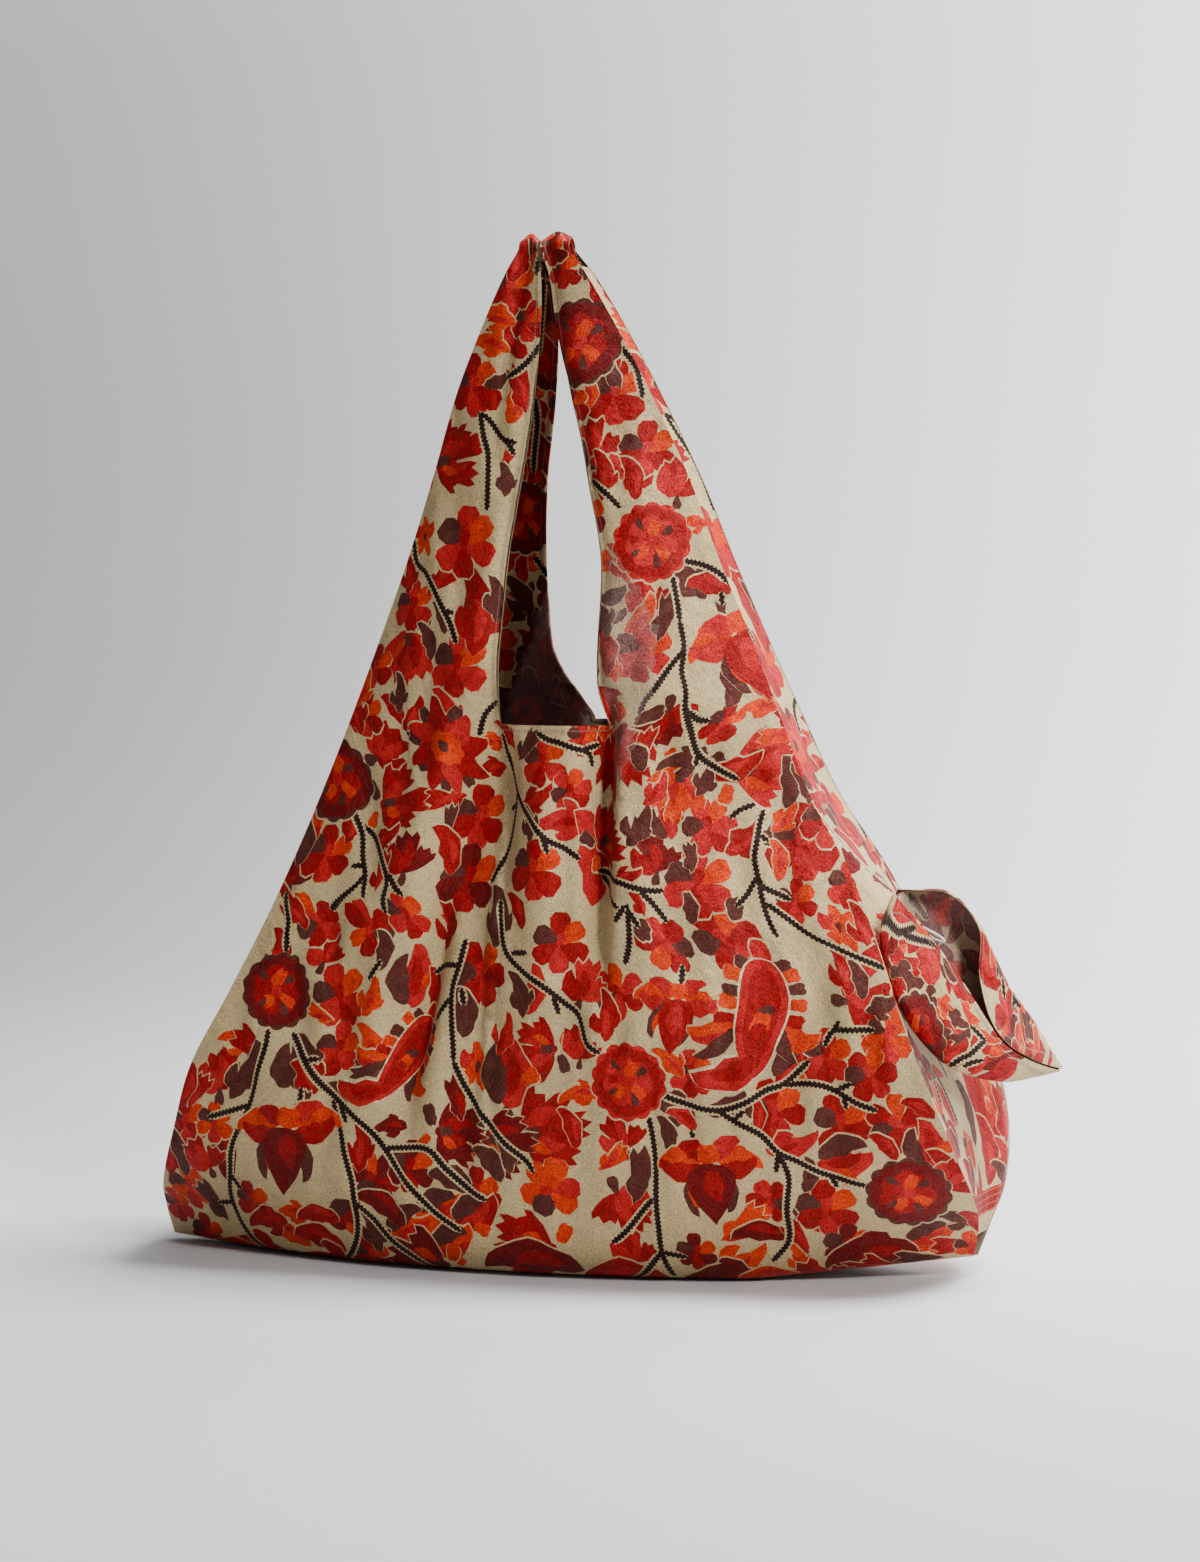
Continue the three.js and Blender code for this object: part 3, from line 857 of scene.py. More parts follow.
# A chart's rows: kind, x, way, size, turn and ink, in mm and degrees. A stem's row: x and way of each of
# its points, in mm.
FRONT_CHART = """
ros 49 121 46 0 c
ros -172 165 46 0 d
ros -145 290 52 0 d
ros 206 54 52 0 d
ros 48 431 48 0 c
ros -1 549 54 0 d
lil 96 74 54 0 d
lil 77 168 44 -12 c
lil -162 84 60 0 d
lil 100 378 62 22 c
pai 123 156 82 -8 k
pai -92 126 66 -28 c
aster -72 310 54 0 c
sta -46 124 28 0 o
sta 165 209 26 0 o
sta -95 434 24 0 o
blo 5 198 40 0 c
blo -45 178 46 30 c
blo 43 172 38 60 k
blo 67 200 38 200 c
blo 102 203 46 40 c
fan 4 138 38 90 c
two -25 124 44 0 k
fan -14 88 50 -80 c
blo 2 57 42 100 o
tri 46 87 28 20 c
tri 43 50 38 200 c
tri 48 18 28 0 c
fan 0 20 50 95 c
blo 86 126 32 0 k
blo 133 106 42 20 c
two 142 132 28 -50 c
lea 142 88 28 -80 k
blo 128 52 32 200 c
blo 153 42 32 0 c
blo 84 20 28 0 d
fan -38 84 40 -95 d
blo -44 52 36 0 c
blo -130 163 44 20 k
tri -141 187 26 0 c
blo -112 205 38 180 c
blo -149 207 38 60 c
blo -90 212 32 0 k
lea -73 207 30 0 c
two -88 176 38 0 k
lea -79 165 26 0 c
blo -130 132 36 0 k
two -157 125 36 20 m
tri -205 112 36 10 c
blo -231 84 36 0 c
lea -213 66 34 0 d
blo -240 38 38 0 o
blo -194 34 32 0 c
two -130 33 28 -60 d
blo -106 58 38 80 d
blo -84 65 36 0 d
fan -66 88 40 -100 d
two -68 42 34 -70 o
two -46 40 32 -60 c
two -88 30 36 -60 o
two -62 20 32 -70 o
fan -70 4 50 90 d
blo -118 6 32 0 c
blo -10 302 36 0 k
lea -14 283 24 -70 c
blo 8 286 30 40 k
lea 3 266 30 85 k
blo -12 240 42 0 c
lea 17 248 52 4 k
fan 22 254 42 -60 c
tri 60 246 30 10 d
blo 84 234 48 0 k
blo 88 266 38 30 k
two 62 270 24 20 k
lea 108 260 26 -60 c
blo 141 257 52 0 c
blo 140 224 30 0 c
fan 70 300 40 180 o
fan 101 296 50 -75 k
lea 100 307 28 -60 c
tri 62 328 34 200 d
blo 93 325 28 0 c
fan 36 322 54 180 c
lea 48 311 22 10 c
blo 46 366 42 0 k
tri -168 232 30 0 d
lea -170 214 26 20 c
blo -147 245 40 0 c
tri -114 306 38 -60 c
blo -129 328 32 0 c
fan -101 378 44 180 k
blo -66 358 46 0 k
blo -124 356 32 0 c
fan -112 276 44 -80 c
blo -54 268 44 0 c
tri -92 243 32 0 d
blo -58 232 46 0 d
lea -57 391 48 -4 c
blo -99 393 36 0 k
lea -82 410 26 -50 c
blo -66 430 50 0 k
fan -94 479 46 -80 c
blo -66 524 44 0 c
lea -46 546 28 60 c
blo -33 562 30 0 c
blo -46 583 42 0 c
blo -13 593 28 0 c
blo 22 518 44 0 c
tri 12 487 32 0 c
blo 41 484 42 0 c
tri 60 464 32 0 c
tri 48 396 28 10 c
blo 169 233 32 0 k
tri 180 169 40 -90 c
blo 197 150 38 0 o
blo 162 137 36 0 k
blo 188 128 36 40 c
blo 171 99 40 20 c
blo 204 101 42 60 c
two 172 79 36 -80 k
blo 160 45 44 0 c
two 218 88 32 0 k
blo 168 18 36 0 d
two 212 19 32 -70 o
lea -38 212 32 0 m
lea -14 172 26 -10 k
lea -19 168 24 10 m
tri 20 172 30 -10 k
lea 33 158 26 0 c
hip 54 208 15 0 m
hip 106 220 14 0 m
hip 121 260 10 0 m
lea 20 112 22 85 o
lea -26 74 18 10 m
lea 39 77 22 -50 o
lea 55 66 34 -20 m
lea 73 105 28 70 m
lea 79 98 18 60 k
lea 70 91 20 10 m
lea 73 133 20 30 o
lea 103 113 22 -60 m
lea 121 103 18 0 c
lea 149 68 20 -10 m
lea 112 37 32 -60 o
lea 122 28 28 80 d
lea 141 27 26 20 c
lea 138 12 20 0 o
lea 108 17 32 -75 o
lea -112 165 22 -20 o
lea -143 152 18 70 o
lea -106 191 22 10 m
lea -195 134 24 70 o
lea -184 131 28 50 c
lea -151 116 26 40 c
lea -191 117 30 -20 m
lea -153 101 16 0 m
lea -129 107 22 60 m
lea -111 134 26 20 o
lea -110 122 24 80 m
lea -226 30 30 30 m
lea -166 29 24 80 o
lea -149 28 26 85 c
lea -172 12 26 70 o
lea -152 10 32 75 c
lea -186 20 28 95 c
lea -118 76 28 0 c
lea -97 87 20 90 d
lea -104 38 30 50 d
lea -113 24 26 0 m
lea -57 106 26 10 d
lea -57 156 26 0 m
lea -60 58 26 60 m
lea -36 70 24 30 m
lea -18 268 22 10 m
lea 44 240 16 -80 c
lea 51 224 18 20 c
lea 79 249 18 0 m
lea 79 220 16 0 m
lea 125 247 22 10 o
lea 129 272 20 -50 o
lea 46 268 24 -30 m
lea 57 288 20 -40 k
lea 83 294 20 -30 m
lea 70 301 26 90 m
lea 128 291 26 0 m
lea 113 334 20 80 o
lea 123 318 24 100 o
lea 130 325 20 60 c
lea 44 304 16 40 m
lea 28 358 16 0 o
lea 92 350 28 0 m
lea 118 377 14 0 o
lea 21 376 16 0 c
lea -156 262 20 0 o
lea -133 264 22 -10 c
lea -111 331 22 35 c
lea -100 331 22 -35 c
lea -107 341 20 0 m
lea -47 312 18 90 o
lea -47 297 18 90 c
lea -70 279 26 100 c
lea -71 266 20 0 m
lea -108 258 20 -70 c
lea -110 237 24 0 c
lea -72 249 28 20 c
lea -46 398 26 0 m
lea -80 386 18 20 m
lea -106 412 22 0 c
lea -52 529 16 -70 m
lea -42 516 26 -15 o
lea -36 522 28 5 c
lea -58 549 26 65 o
lea -55 563 24 70 o
lea -34 604 18 0 o
lea -42 480 14 -30 k
lea -44 468 18 0 m
lea -88 372 20 10 m
lea 6 577 28 20 c
lea 1 593 12 0 m
lea 15 541 20 40 c
lea 19 531 22 30 m
lea 3 519 18 0 o
lea 19 473 24 60 k
lea 36 469 24 0 c
lea 70 440 16 90 o
lea 20 419 18 80 o
lea 30 418 22 20 k
lea 68 408 28 40 m
lea 80 404 24 70 c
lea 26 402 18 -70 m
lea 28 389 14 -60 m
lea 42 389 22 -40 o
lea 57 387 28 -12 m
lea 88 391 14 0 m
lea 176 210 24 0 c
lea 166 187 28 5 c
lea 190 193 22 80 c
lea 177 180 18 0 m
lea 193 167 20 -80 m
lea 214 108 18 60 c
lea 227 28 24 60 m
lea 180 5 50 90 d
lea 195 86 18 30 c
lea -255 60 26 -20 c
lea -222 104 24 -30 c
lea 225 68 26 20 c
lea -12 2 50 90 d
lea 40 -6 44 90 c
lea -150 -6 44 80 c
lea 100 -4 46 90 d
lea -200 -4 40 80 c
lea -90 -16 30 80 c
lea 70 -18 30 90 o
tri 230 62 30 -40 c
fan 14 344 44 200 c
blo 2 372 36 0 k
lea -8 352 26 40 m
lea 22 366 24 10 c
blo 8 402 36 0 d
lea -10 396 24 -30 c
lea 20 386 22 30 m
blo 12 446 34 0 d
lea 2 424 24 60 c
lea 16 470 26 0 c
lea 2 484 24 40 m
blo -4 512 30 0 c
lea -26 344 28 10 c
lea -30 372 26 -20 c
blo -34 400 30 0 k
tri -40 606 30 10 d
lea -53 600 24 -20 c
blo -20 606 26 0 d
lea -12 611 20 30 c
lea -30 612 18 80 o
lea -36 318 18 30 c
lea -22 312 22 -40 m
blo 12 316 24 0 k
lea 22 322 14 0 o
lea 226 8 30 80 c
fan 192 -12 46 90 c
blo 234 6 28 0 o
lea 205 0 30 75 m
tri 150 -8 36 10 c
lea 122 -4 30 80 o
lea 236 24 24 30 c
blo -238 4 34 0 c
lea -216 -8 34 80 o
tri -180 -20 36 0 c
blo -256 22 30 0 k
lea -246 62 30 10 m
tri -222 60 30 20 c
lea -236 108 26 -20 c
blo -212 84 30 0 o
tri -32 -24 34 0 c
lea 0 -24 36 85 m
blo 30 -28 34 0 c
lea -62 -30 36 85 o
blo -120 -26 34 0 d
fan 110 -30 40 80 c
lea 168 -24 34 88 m
tri 20 138 26 0 c
lea -176 186 24 20 c
lea -180 252 26 0 m
lea -160 330 26 10 c
lea -138 344 22 -20 o
lea -74 330 26 20 k
lea -84 322 20 -30 o
lea -24 216 22 30 c
lea -30 146 24 -20 k
lea 12 92 22 20 c
blo 166 268 34 0 c
lea 150 292 26 10 m
lea 136 306 24 20 c
lea 112 350 24 10 k
lea 128 352 22 -20 o
"""

FRONT_STEMS = """
-35 222 -30 195 -18 183 -5 175 8 165 18 158 24 143 32 137
-25 192 -14 193
2 168 6 158
-60 128 -52 113 -42 100 -25 82 -12 72 -8 66
38 212 45 221 47 205 45 188
46 219 53 209
52 230 60 222 68 212
78 188 78 174
67 115 80 110 100 106 115 110 128 118 138 122 152 135
138 121 155 122 168 118 180 112 192 108
168 119 177 123
172 117 174 108
100 106 110 100 125 92 135 82 145 77 160 69 180 62 187 60
110 101 116 106
163 68 167 60
60 102 63 85 64 65 64 40 64 20 68 2
62 53 55 45 45 33 36 25
64 20 78 17
135 82 133 70
136 80 140 65 138 45 136 25 125 12
88 84 85 94
-172 222 -168 202 -168 188
-175 143 -180 120 -186 100 -200 75 -207 50 -210 30 -205 12 -195 -2
-188 97 -200 93 -216 88
-207 52 -200 42
-210 32 -221 30
-160 141 -150 125 -140 112 -130 103 -118 93 -105 82 -97 72 -88 58 -80 48 -70 38 -55 28
-133 103 -128 85 -124 65 -122 45 -124 20 -137 0
-150 126 -141 127
-128 100 -124 90
-100 76 -88 77 -72 77 -62 66 -50 55 -38 48
-57 198 -60 182 -63 168 -62 150 -60 128
-60 183 -70 182 -78 177
-57 170 -55 160
-64 164 -73 150
-122 42 -112 32 -100 18 -88 8 -78 -4
-104 186 -112 174
-152 110 -153 96
-42 338 -50 330 -54 317
-40 319 -36 305 -31 292 -25 280 -15 268 -5 258 5 253 14 247
-28 286 -29 270 -31 255 -38 240 -43 231
-27 278 -33 274
-8 262 -4 250
-15 320 -8 316 0 314 8 311 15 308 17 300
12 310 20 313
66 385 69 370 70 350 72 335 76 320 80 308 90 300 103 293
69 368 60 355 50 340 46 331
73 333 79 328 86 327
80 308 79 301
118 276 116 262 115 250 117 240 120 233 130 228 137 225
117 238 112 228 106 221
118 238 121 225 126 212 131 204
123 223 135 215 150 205 160 200 172 195 185 190 196 187
116 262 122 258
113 279 105 276 99 271
22 240 35 236 48 232 58 230 65 230
24 237 33 226 40 220
107 362 115 358 125 353
-131 281 -122 275
-135 278 -130 268 -125 258 -123 245 -120 232 -119 221
-123 262 -115 255 -108 242 -104 230 -103 213
-103 236 -98 228 -93 224
-121 240 -130 239
-120 235 -128 226 -141 213
-100 318 -95 317
-24 550 -30 541 -38 533 -45 529
-62 508 -56 505 -48 495 -42 490 -38 483
-45 492 -37 490
-61 508 -58 495 -54 482 -53 465 -53 450
-107 433 -100 420 -92 413 -85 403 -78 392 -72 382 -67 371
-78 391 -71 389
10 468 20 460 29 451
14 552 24 545 32 535 36 522 37 516
14 556 23 553
61 421 75 418 85 413 93 407
60 412 63 400 66 385
87 402 88 394
160 143 165 152 175 153 189 153
165 152 169 158
-28 604 -30 590
38 -10 64 20
"""

INSIDE_CHART = """
ros -51 447 45 0 d
lea -38 487 30 10 d
lea -62 480 26 40 m
blo -46 360 40 20 d
aster -56 328 50 0 m
lea -36 404 28 -20 c
lea -60 398 26 30 m
blo -30 330 34 0 d
lea -38 545 30 10 c
lea -34 574 26 -20 d
"""
INSIDE_STEMS = """
-42 521 -41 506 -44 474
-47 424 -38 404 -33 392
-32 590 -36 560 -38 545
"""
STRIP_CHART = """
blo -66 133 44 20 d
lea -76 122 22 0 m
lea -57 107 28 28 k
lea -72 112 20 -10 o
tri -66 92 32 200 k
lea -60 86 18 20 m
lea -44 123 16 80 o
lea 8 104 62 8 c
lea -15 98 38 0 m
lea 24 102 26 10 o
lea 34 92 40 -10 c
blo -32 80 24 0 k
lea -24 74 24 10 o
lea 4 68 40 -8 c
lea 44 82 26 20 o
lea 54 76 34 0 m
lea -45 60 28 20 c
lea -36 62 20 0 m
lea 26 64 26 10 k
blo 60 104 40 0 c
lea 20 50 24 30 m
lea -18 50 26 -20 c
lea -6 140 30 40 c
ros 40 140 44 0 d
lea -30 146 24 0 o
blo 8 166 38 0 c
tri -40 168 34 10 d
lea 44 178 28 0 m
blo -48 196 36 0 c
lea -20 190 26 30 k
lea 20 198 26 0 c
lea -50 218 22 0 d
lea -36 232 26 20 c
lea -46 246 18 0 m
blo 36 246 26 0 c
lea 44 226 20 0 d
lea -34 252 22 0 o
"""
STRIP_STEMS = """
-56 132 -60 121 -65 110
-47 128 -45 112 -42 95
46 128 50 110 54 92
-12 160 -20 150 -28 136 -30 120
-44 226 -40 214 -30 204 -24 196
"""
STRIP_SEAM = "-8 420 -9 330 -9 272 -2 250 16 234 36 222"
POUCH_CHART = """
lea -27 9 30 62 o
lea -34 12 44 50 c
lea -47 24 20 45 o
lea -17 18 22 50 o
blo -8 21 34 0 d
lea -22 27 26 45 c
lea -20 33 24 33 m
lea -13 37 22 15 c
tri -45 38 32 217 c
hip -22 49 15 0 o
lea -34 52 22 48 m
lea -34 62 22 45 o
lea -44 61 18 30 o
lea -43 75 26 25 c
lea -47 70 16 20 m
lea -34 74 24 60 m
ros -13 61 46 0 d
lea -31 80 24 70 c
lea -36 99 24 80 c
blo -52 97 26 0 c
lea -60 56 28 0 c
lea -56 73 18 0 o
lea -57 48 14 20 m
lea -54 88 18 0 o
lea -44 106 26 60 d
lea -24 108 30 60 c
lea -8 92 30 20 d
blo -2 116 34 0 c
lea 100 53 20 30 c
lea 94 62 32 27 c
hip 92 63 10 0 o
lea 87 72 14 0 m
lea 79 84 22 10 c
blo 91 94 38 0 c
lea 88 104 24 60 m
blo 80 112 30 0 c
lea 78 118 24 60 o
lea 71 103 24 -25 o
lea 57 114 42 40 c
lea 63 107 20 30 m
hip 56 116 12 0 o
lea 70 121 18 70 m
lea 28 133 12 0 c
blo 62 22 42 0 d
lea 80 34 28 40 d
blo 50 50 40 0 d
lea 84 46 24 0 m
lea 70 66 28 0 d
lea 40 30 26 20 m
blo 20 30 38 0 c
lea 10 60 34 20 c
blo 26 80 40 0 k
lea 46 92 30 10 o
lea 30 108 26 30 m
lea 8 8 26 20 c
"""
POUCH_STEMS = """
-1 3 -10 6 -18 11 -24 14.5 -40 19
-27 16 -38 23.5 -46 29 -51 34
-22 85 -31 87 -36 89 -46 90 -51 91
-51 78 -51 85 -50 91
-28 91 -34 94 -38 98
87 75 88 86
73 88 77 90 80 94
76 90 70 96
36 6 48 14 56 24
10 90 20 98 30 102
"""


class Profile(Enum):
    """How a petal's width grows from its base and falls to its tip, as powers."""

    LEAF = (0.75, 0.95)
    PETAL = (0.62, 0.42)
    DROP = (0.42, 1.0)
    TOOTH = (0.7, 0.12)


@dataclass(frozen=True)
class Patch:
    """One printed shape: its outline on the flat cloth, in mm, and the letter of its ink."""

    outline: Array
    ink: str


@dataclass
class Print:
    """The printed flowers as closed shapes on the flat cloth, with sizes in mm.

    Every shape keeps a halo of bare ground. Each row of fillers gives the pitch of the places that are tried,
    how bare a place has to be, the greatest size of the motif and the kinds to choose from.
    """

    seed: int
    teeth: tuple[tuple[float, float], ...] = (
        (0.80, 1.0), (0.95, 0.86), (0.84, 0.46), (1.0, 0.04), (0.84, -0.4), (0.94, -0.84), (0.80, -1.0),
    )
    tip_curl: float = 42.0
    scalloped_from: float = 13.0
    jitter: float = 0.16
    stem_half: float = 1.6
    stem_wave: float = 0.55
    stem_beads: float = 2.5
    stem_clear: float = 2.8
    curve_step: float = 0.58
    halo: float = 1.15
    fillers: tuple[tuple[float, float, float, tuple[str, ...]], ...] = (
        (36.0, 22.0, 46.0, ("ros", "lil", "pai", "aster", "fan")),
        (24.0, 14.0, 34.0, ("blo", "fan", "tri", "sta", "two", "blo")),
        (14.0, 10.4, 24.0, ("lea", "hip", "lea")),
    )

    def __post_init__(self) -> None:
        """Seeds the small unevenness of the printing."""
        self.draw = np.random.RandomState(self.seed)

    def petal(
        self, base: Array, length: float, width: float, way: float, bend: float, profile: Profile,
    ) -> Array:
        """Draws a petal or leaf.

        Args:
            base: where it starts.
            length: its length along its middle line.
            width: its greatest width.
            way: the heading at its base, in degrees counter-clockwise from right.
            bend: how far the heading turns along it, in degrees.
            profile: how its width changes.

        Returns:
            Its outline.
        """
        steps = int(np.clip(length / 2.2, 4, 16))
        t = (1 - np.cos(np.linspace(0, math.pi, steps + 1))) / 2
        fine = np.linspace(0, 1, 33)
        curl = math.copysign(self.tip_curl, bend) if profile is Profile.LEAF else 0.0
        heading = np.radians(way + bend * fine + curl * fine**4)
        run = np.concatenate([[0], np.cumsum((np.cos(heading[1:]) + np.cos(heading[:-1])) / 64)])
        climb = np.concatenate([[0], np.cumsum((np.sin(heading[1:]) + np.sin(heading[:-1])) / 64)])

        def at(part: Array, side: Array) -> Array:
            """Returns points a part of the way along and to the side of the middle line."""
            turn = np.radians(way + bend * part + curl * part**4)
            x = base[0] + length * np.interp(part, fine, run) - side * np.sin(turn)
            y = base[1] + length * np.interp(part, fine, climb) + side * np.cos(turn)
            return np.stack([x, y], axis=-1)

        rise, fall = profile.value
        peak = rise / (rise + fall)
        most = peak**rise * (1 - peak) ** fall
        half = width / 2 * t**rise * (1 - t) ** fall / most
        if profile is Profile.LEAF and length > self.scalloped_from:
            half = half * (1 + 0.13 * np.sin(math.tau * 2.5 * t))
        if profile is Profile.TOOTH:
            body = t[t < 0.78]
            half = width / 2 * (body / 0.8) ** rise
            teeth = np.array(self.teeth)
            return np.concatenate([
                at(body[::-1], -half[::-1])[:-1], at(body, half), at(teeth[:, 0], teeth[:, 1] * width / 2),
            ])
        return np.concatenate([at(t, half), at(t[::-1], -half[::-1])[1:-1]])

    def disc(self, middle: Array, radius: float, lobes: int, turn: float, depth: float) -> Array:
        """Draws a round shape with a scalloped edge."""
        steps = max(lobes * 4, 10)
        angle = np.linspace(0, math.tau, steps, endpoint=False)
        scallop = np.abs(np.sin(lobes * angle / 2))
        reach = radius * (1 - depth + depth * scallop)
        angle = angle + math.radians(turn)
        return middle + np.stack([reach * np.cos(angle), reach * np.sin(angle)], axis=-1)

    def puff(self, base: Array, length: float, width: float, way: float, lobes: int) -> Array:
        """Draws a round petal with a few soft lobes.

        Args:
            base: where it starts.
            length: its length.
            width: its width.
            way: its heading, in degrees counter-clockwise from right.
            lobes: how many lobes its edge has.

        Returns:
            Its outline.
        """
        turn = math.radians(way + 5 * self.draw.normal())
        angle = np.linspace(0, math.tau, lobes * 4, endpoint=False)
        edge = 1 - 0.20 * (1 - np.abs(np.sin(lobes * angle / 2)) ** 0.8) + 0.04 * self.draw.normal()
        along = length / 2 * (1 + edge * np.cos(angle))
        aside = width / 2 * edge * np.sin(angle) * (0.86 + 0.18 * np.cos(angle))
        x = base[0] + along * math.cos(turn) - aside * math.sin(turn)
        y = base[1] + along * math.sin(turn) + aside * math.cos(turn)
        return np.stack([x, y], axis=-1)

    def motif(self, kind: str, place: Array, size: float, turn: float, ink: str) -> list[Patch]:
        """Draws one motif of the chart.

        Args:
            kind: its name in the table of motifs.
            place: its middle on the flat cloth.
            size: its size, in mm.
            turn: degrees counter-clockwise from upright.
            ink: its main ink.

        Returns:
            Its shapes, in the order in which they are printed.
        """
        if kind == "lea":
            kind = LEAVES[self.draw.randint(len(LEAVES))]
        inks = {"1": ink, "2": SECOND[ink], "3": THIRD[ink], "5": EDGE[ink]}
        size *= KIND_SIZE.get(kind, 1.0)
        cos, sin = math.cos(math.radians(turn)), math.sin(math.radians(turn))
        patches = []
        for line in MOTIFS[kind].strip().splitlines():
            shape, *numbers, letter = line.split()
            x, y, length, width, way, bend = (float(v) for v in numbers)
            base = place + size * np.array([x * cos - y * sin, x * sin + y * cos])
            if shape == "disc":
                outline = self.disc(base, length * size, int(width), way + turn, bend)
            elif shape == "puff":
                outline = self.puff(base, length * size, width * size, way + turn, int(bend))
            else:
                uneven = self.draw.normal(0, 1, 3) * (kind != "pai")
                outline = self.petal(
                    base, length * size * (1 + 0.04 * uneven[0]), width * size * (1 + 0.06 * uneven[1]),
                    way + turn + 4 * uneven[2], bend, Profile[shape.upper()],
                )
            outline = thinned(outline)
            outline = outline + self.draw.normal(0, self.jitter, outline.shape)
            patches.append(Patch(outline, inks.get(letter, letter)))
        return patches

    def cleared(self, shapes: list[Patch]) -> list[Patch]:
        """Returns shapes on top of the bare ground that they keep round themselves."""
        return [*(self.clearing(shape) for shape in shapes), *shapes]

    def clearing(self, shape: Patch) -> Patch:
        """Returns the patch of bare ground that a shape keeps round itself."""
        line = shape.outline
        along = unit(np.roll(line, -1, axis=0) - np.roll(line, 1, axis=0))
        after = np.roll(line, -1, axis=0)
        turn = np.sign(np.sum(line[:, 0] * after[:, 1] - after[:, 0] * line[:, 1]))
        wide = self.halo * (0.5 + 0.5 * along[:, :1])
        return Patch(line + turn * wide * np.stack([along[:, 1], -along[:, 0]], axis=-1), "g")

    def band(self, points: Array, half: float, beads: float, ink: str) -> Patch:
        """Draws a band through points.

        Args:
            points: the points of its middle line.
            half: half its width, in mm.
            beads: how far its edges wave, in mm.
            ink: the letter of its ink.

        Returns:
            The band.
        """
        middle = curve_through(points, lambda long: max(2, int(long / self.curve_step)))
        length = length_along(middle)
        pace = self.stem_beads / 2 if beads else 4.0
        stops = np.linspace(0, length[-1], max(4, round(length[-1] / pace)))
        middle = np.stack([np.interp(stops, length, column) for column in middle.T], axis=-1)
        step = unit(np.gradient(middle, axis=0))
        side = np.stack([-step[:, 1], step[:, 0]], axis=-1)
        end = np.minimum(stops, stops[-1] - stops)
        wide = half * np.clip(0.45 + end / 4, 0, 1)
        wave = beads * (1 - 2 * (np.arange(len(stops)) % 2))
        left = middle + side * (wide + wave)[:, None]
        right = middle - side * (wide - wave)[:, None]
        return Patch(np.concatenate([left, right[::-1]]), ink)

    def chart(
        self,
        rows: str,
        stems: str,
        to_flat: Callable[[Array], Array],
        box: tuple[float, ...],
        scale: float = 1.0,
    ) -> list[Patch]:
        """Draws the part of a chart that falls on a sheet.

        Args:
            rows: the chart's motifs, a line for each.
            stems: the chart's stems, a line of points for each.
            to_flat: takes chart places to places on the flat cloth.
            box: the least and greatest flat x and the least and greatest flat way.
            scale: the motifs' size over the chart's.

        Returns:
            The shapes in the order in which they are printed.
        """
        lines = []
        for line in stems.strip().splitlines():
            numbers = np.array([float(v) for v in line.split()]).reshape(-1, 2)
            points = to_flat(numbers)
            if self.near(points, box, 6):
                lines.append(points)
        small, grown = [], []
        for line in rows.strip().splitlines():
            kind, x, way, size, turn, ink = line.split()
            place = to_flat(np.array([[float(x), float(way)]]))
            if self.near(place, box, float(size) * 0.6):
                layer = grown if kind in GROWN else small
                layer += self.cleared(self.motif(kind, place[0], float(size) * scale, float(turn), ink))
        clear = [self.band(points, self.stem_clear, 0.0, "g") for points in lines]
        drawn = [self.band(points, self.stem_half, self.stem_wave, "s") for points in lines]
        return [*small, *clear, *drawn, *grown]

    def fill(self, patches: list[Patch], outline: Array) -> list[Patch]:
        """Adds motifs wherever the charts leave the cloth bare.

        Args:
            patches: the shapes of the charts.
            outline: the outline of the flat cloth.

        Returns:
            The shapes with the added ones after them.
        """
        marks = np.concatenate([patch.outline for patch in patches if patch.ink != "g"])
        low, high = outline.min(axis=0), outline.max(axis=0)
        for pitch, bare, most, kinds in self.fillers:
            across, up = np.meshgrid(np.arange(low[0], high[0], pitch), np.arange(low[1], high[1], pitch))
            spots = np.stack([across.ravel(), up.ravel()], axis=-1)
            spots = spots + self.draw.uniform(-0.35, 0.35, spots.shape) * pitch
            for spot in spots[within(spots, outline)]:
                gap = np.linalg.norm(marks - spot, axis=1).min()
                if gap < bare:
                    continue
                kind = kinds[self.draw.randint(len(kinds))]
                ink = "ccdkdo"[self.draw.randint(6)]
                shapes = self.motif(kind, spot, min(gap * 1.75, most), self.draw.uniform(0, 360), ink)
                patches = [*patches, *self.cleared(shapes)]
                marks = np.concatenate([marks, *(shape.outline for shape in shapes)])
        return patches

    @staticmethod
    def near(points: Array, box: tuple[float, ...], margin: float) -> bool:
        """Whether any of the points lies in the box or near it."""
        inside = (
            (points[:, 0] > box[0] - margin) & (points[:, 0] < box[1] + margin)
            & (points[:, 1] > box[2] - margin) & (points[:, 1] < box[3] + margin)
        )
        return bool(inside.any())


def thinned(outline: Array) -> Array:
    """Returns a closed outline without the points that its neighbours make needless."""
    for odd in (1, 0, 1, 0):
        before = np.roll(outline, 1, axis=0)
        span = np.roll(outline, -1, axis=0) - before
        off = outline - before
        area = np.abs(span[:, 0] * off[:, 1] - span[:, 1] * off[:, 0])
        gap = area / np.maximum(np.linalg.norm(span, axis=1), 1e-6)
        keep = (np.arange(len(outline)) % 2 != odd) | (gap > 0.24)
        if keep.sum() >= 6:
            outline = outline[keep]
    return outline


def within(points: Array, outline: Array) -> Array:
    """Which of the points lie inside a closed outline."""
    x0, y0 = outline[:, 0], outline[:, 1]
    x1, y1 = np.roll(x0, -1), np.roll(y0, -1)
    slope = (x1 - x0) / np.where(y1 == y0, 1.0, y1 - y0)
    found = np.zeros(len(points), dtype=bool)
    for start in range(0, len(points), 6000):
        x = points[start:start + 6000, 0:1]
        y = points[start:start + 6000, 1:2]
        crossed = ((y0 > y) != (y1 > y)) & (x < x0 + slope * (y - y0))
        found[start:start + 6000] = crossed.sum(axis=1) % 2 == 1
    return found


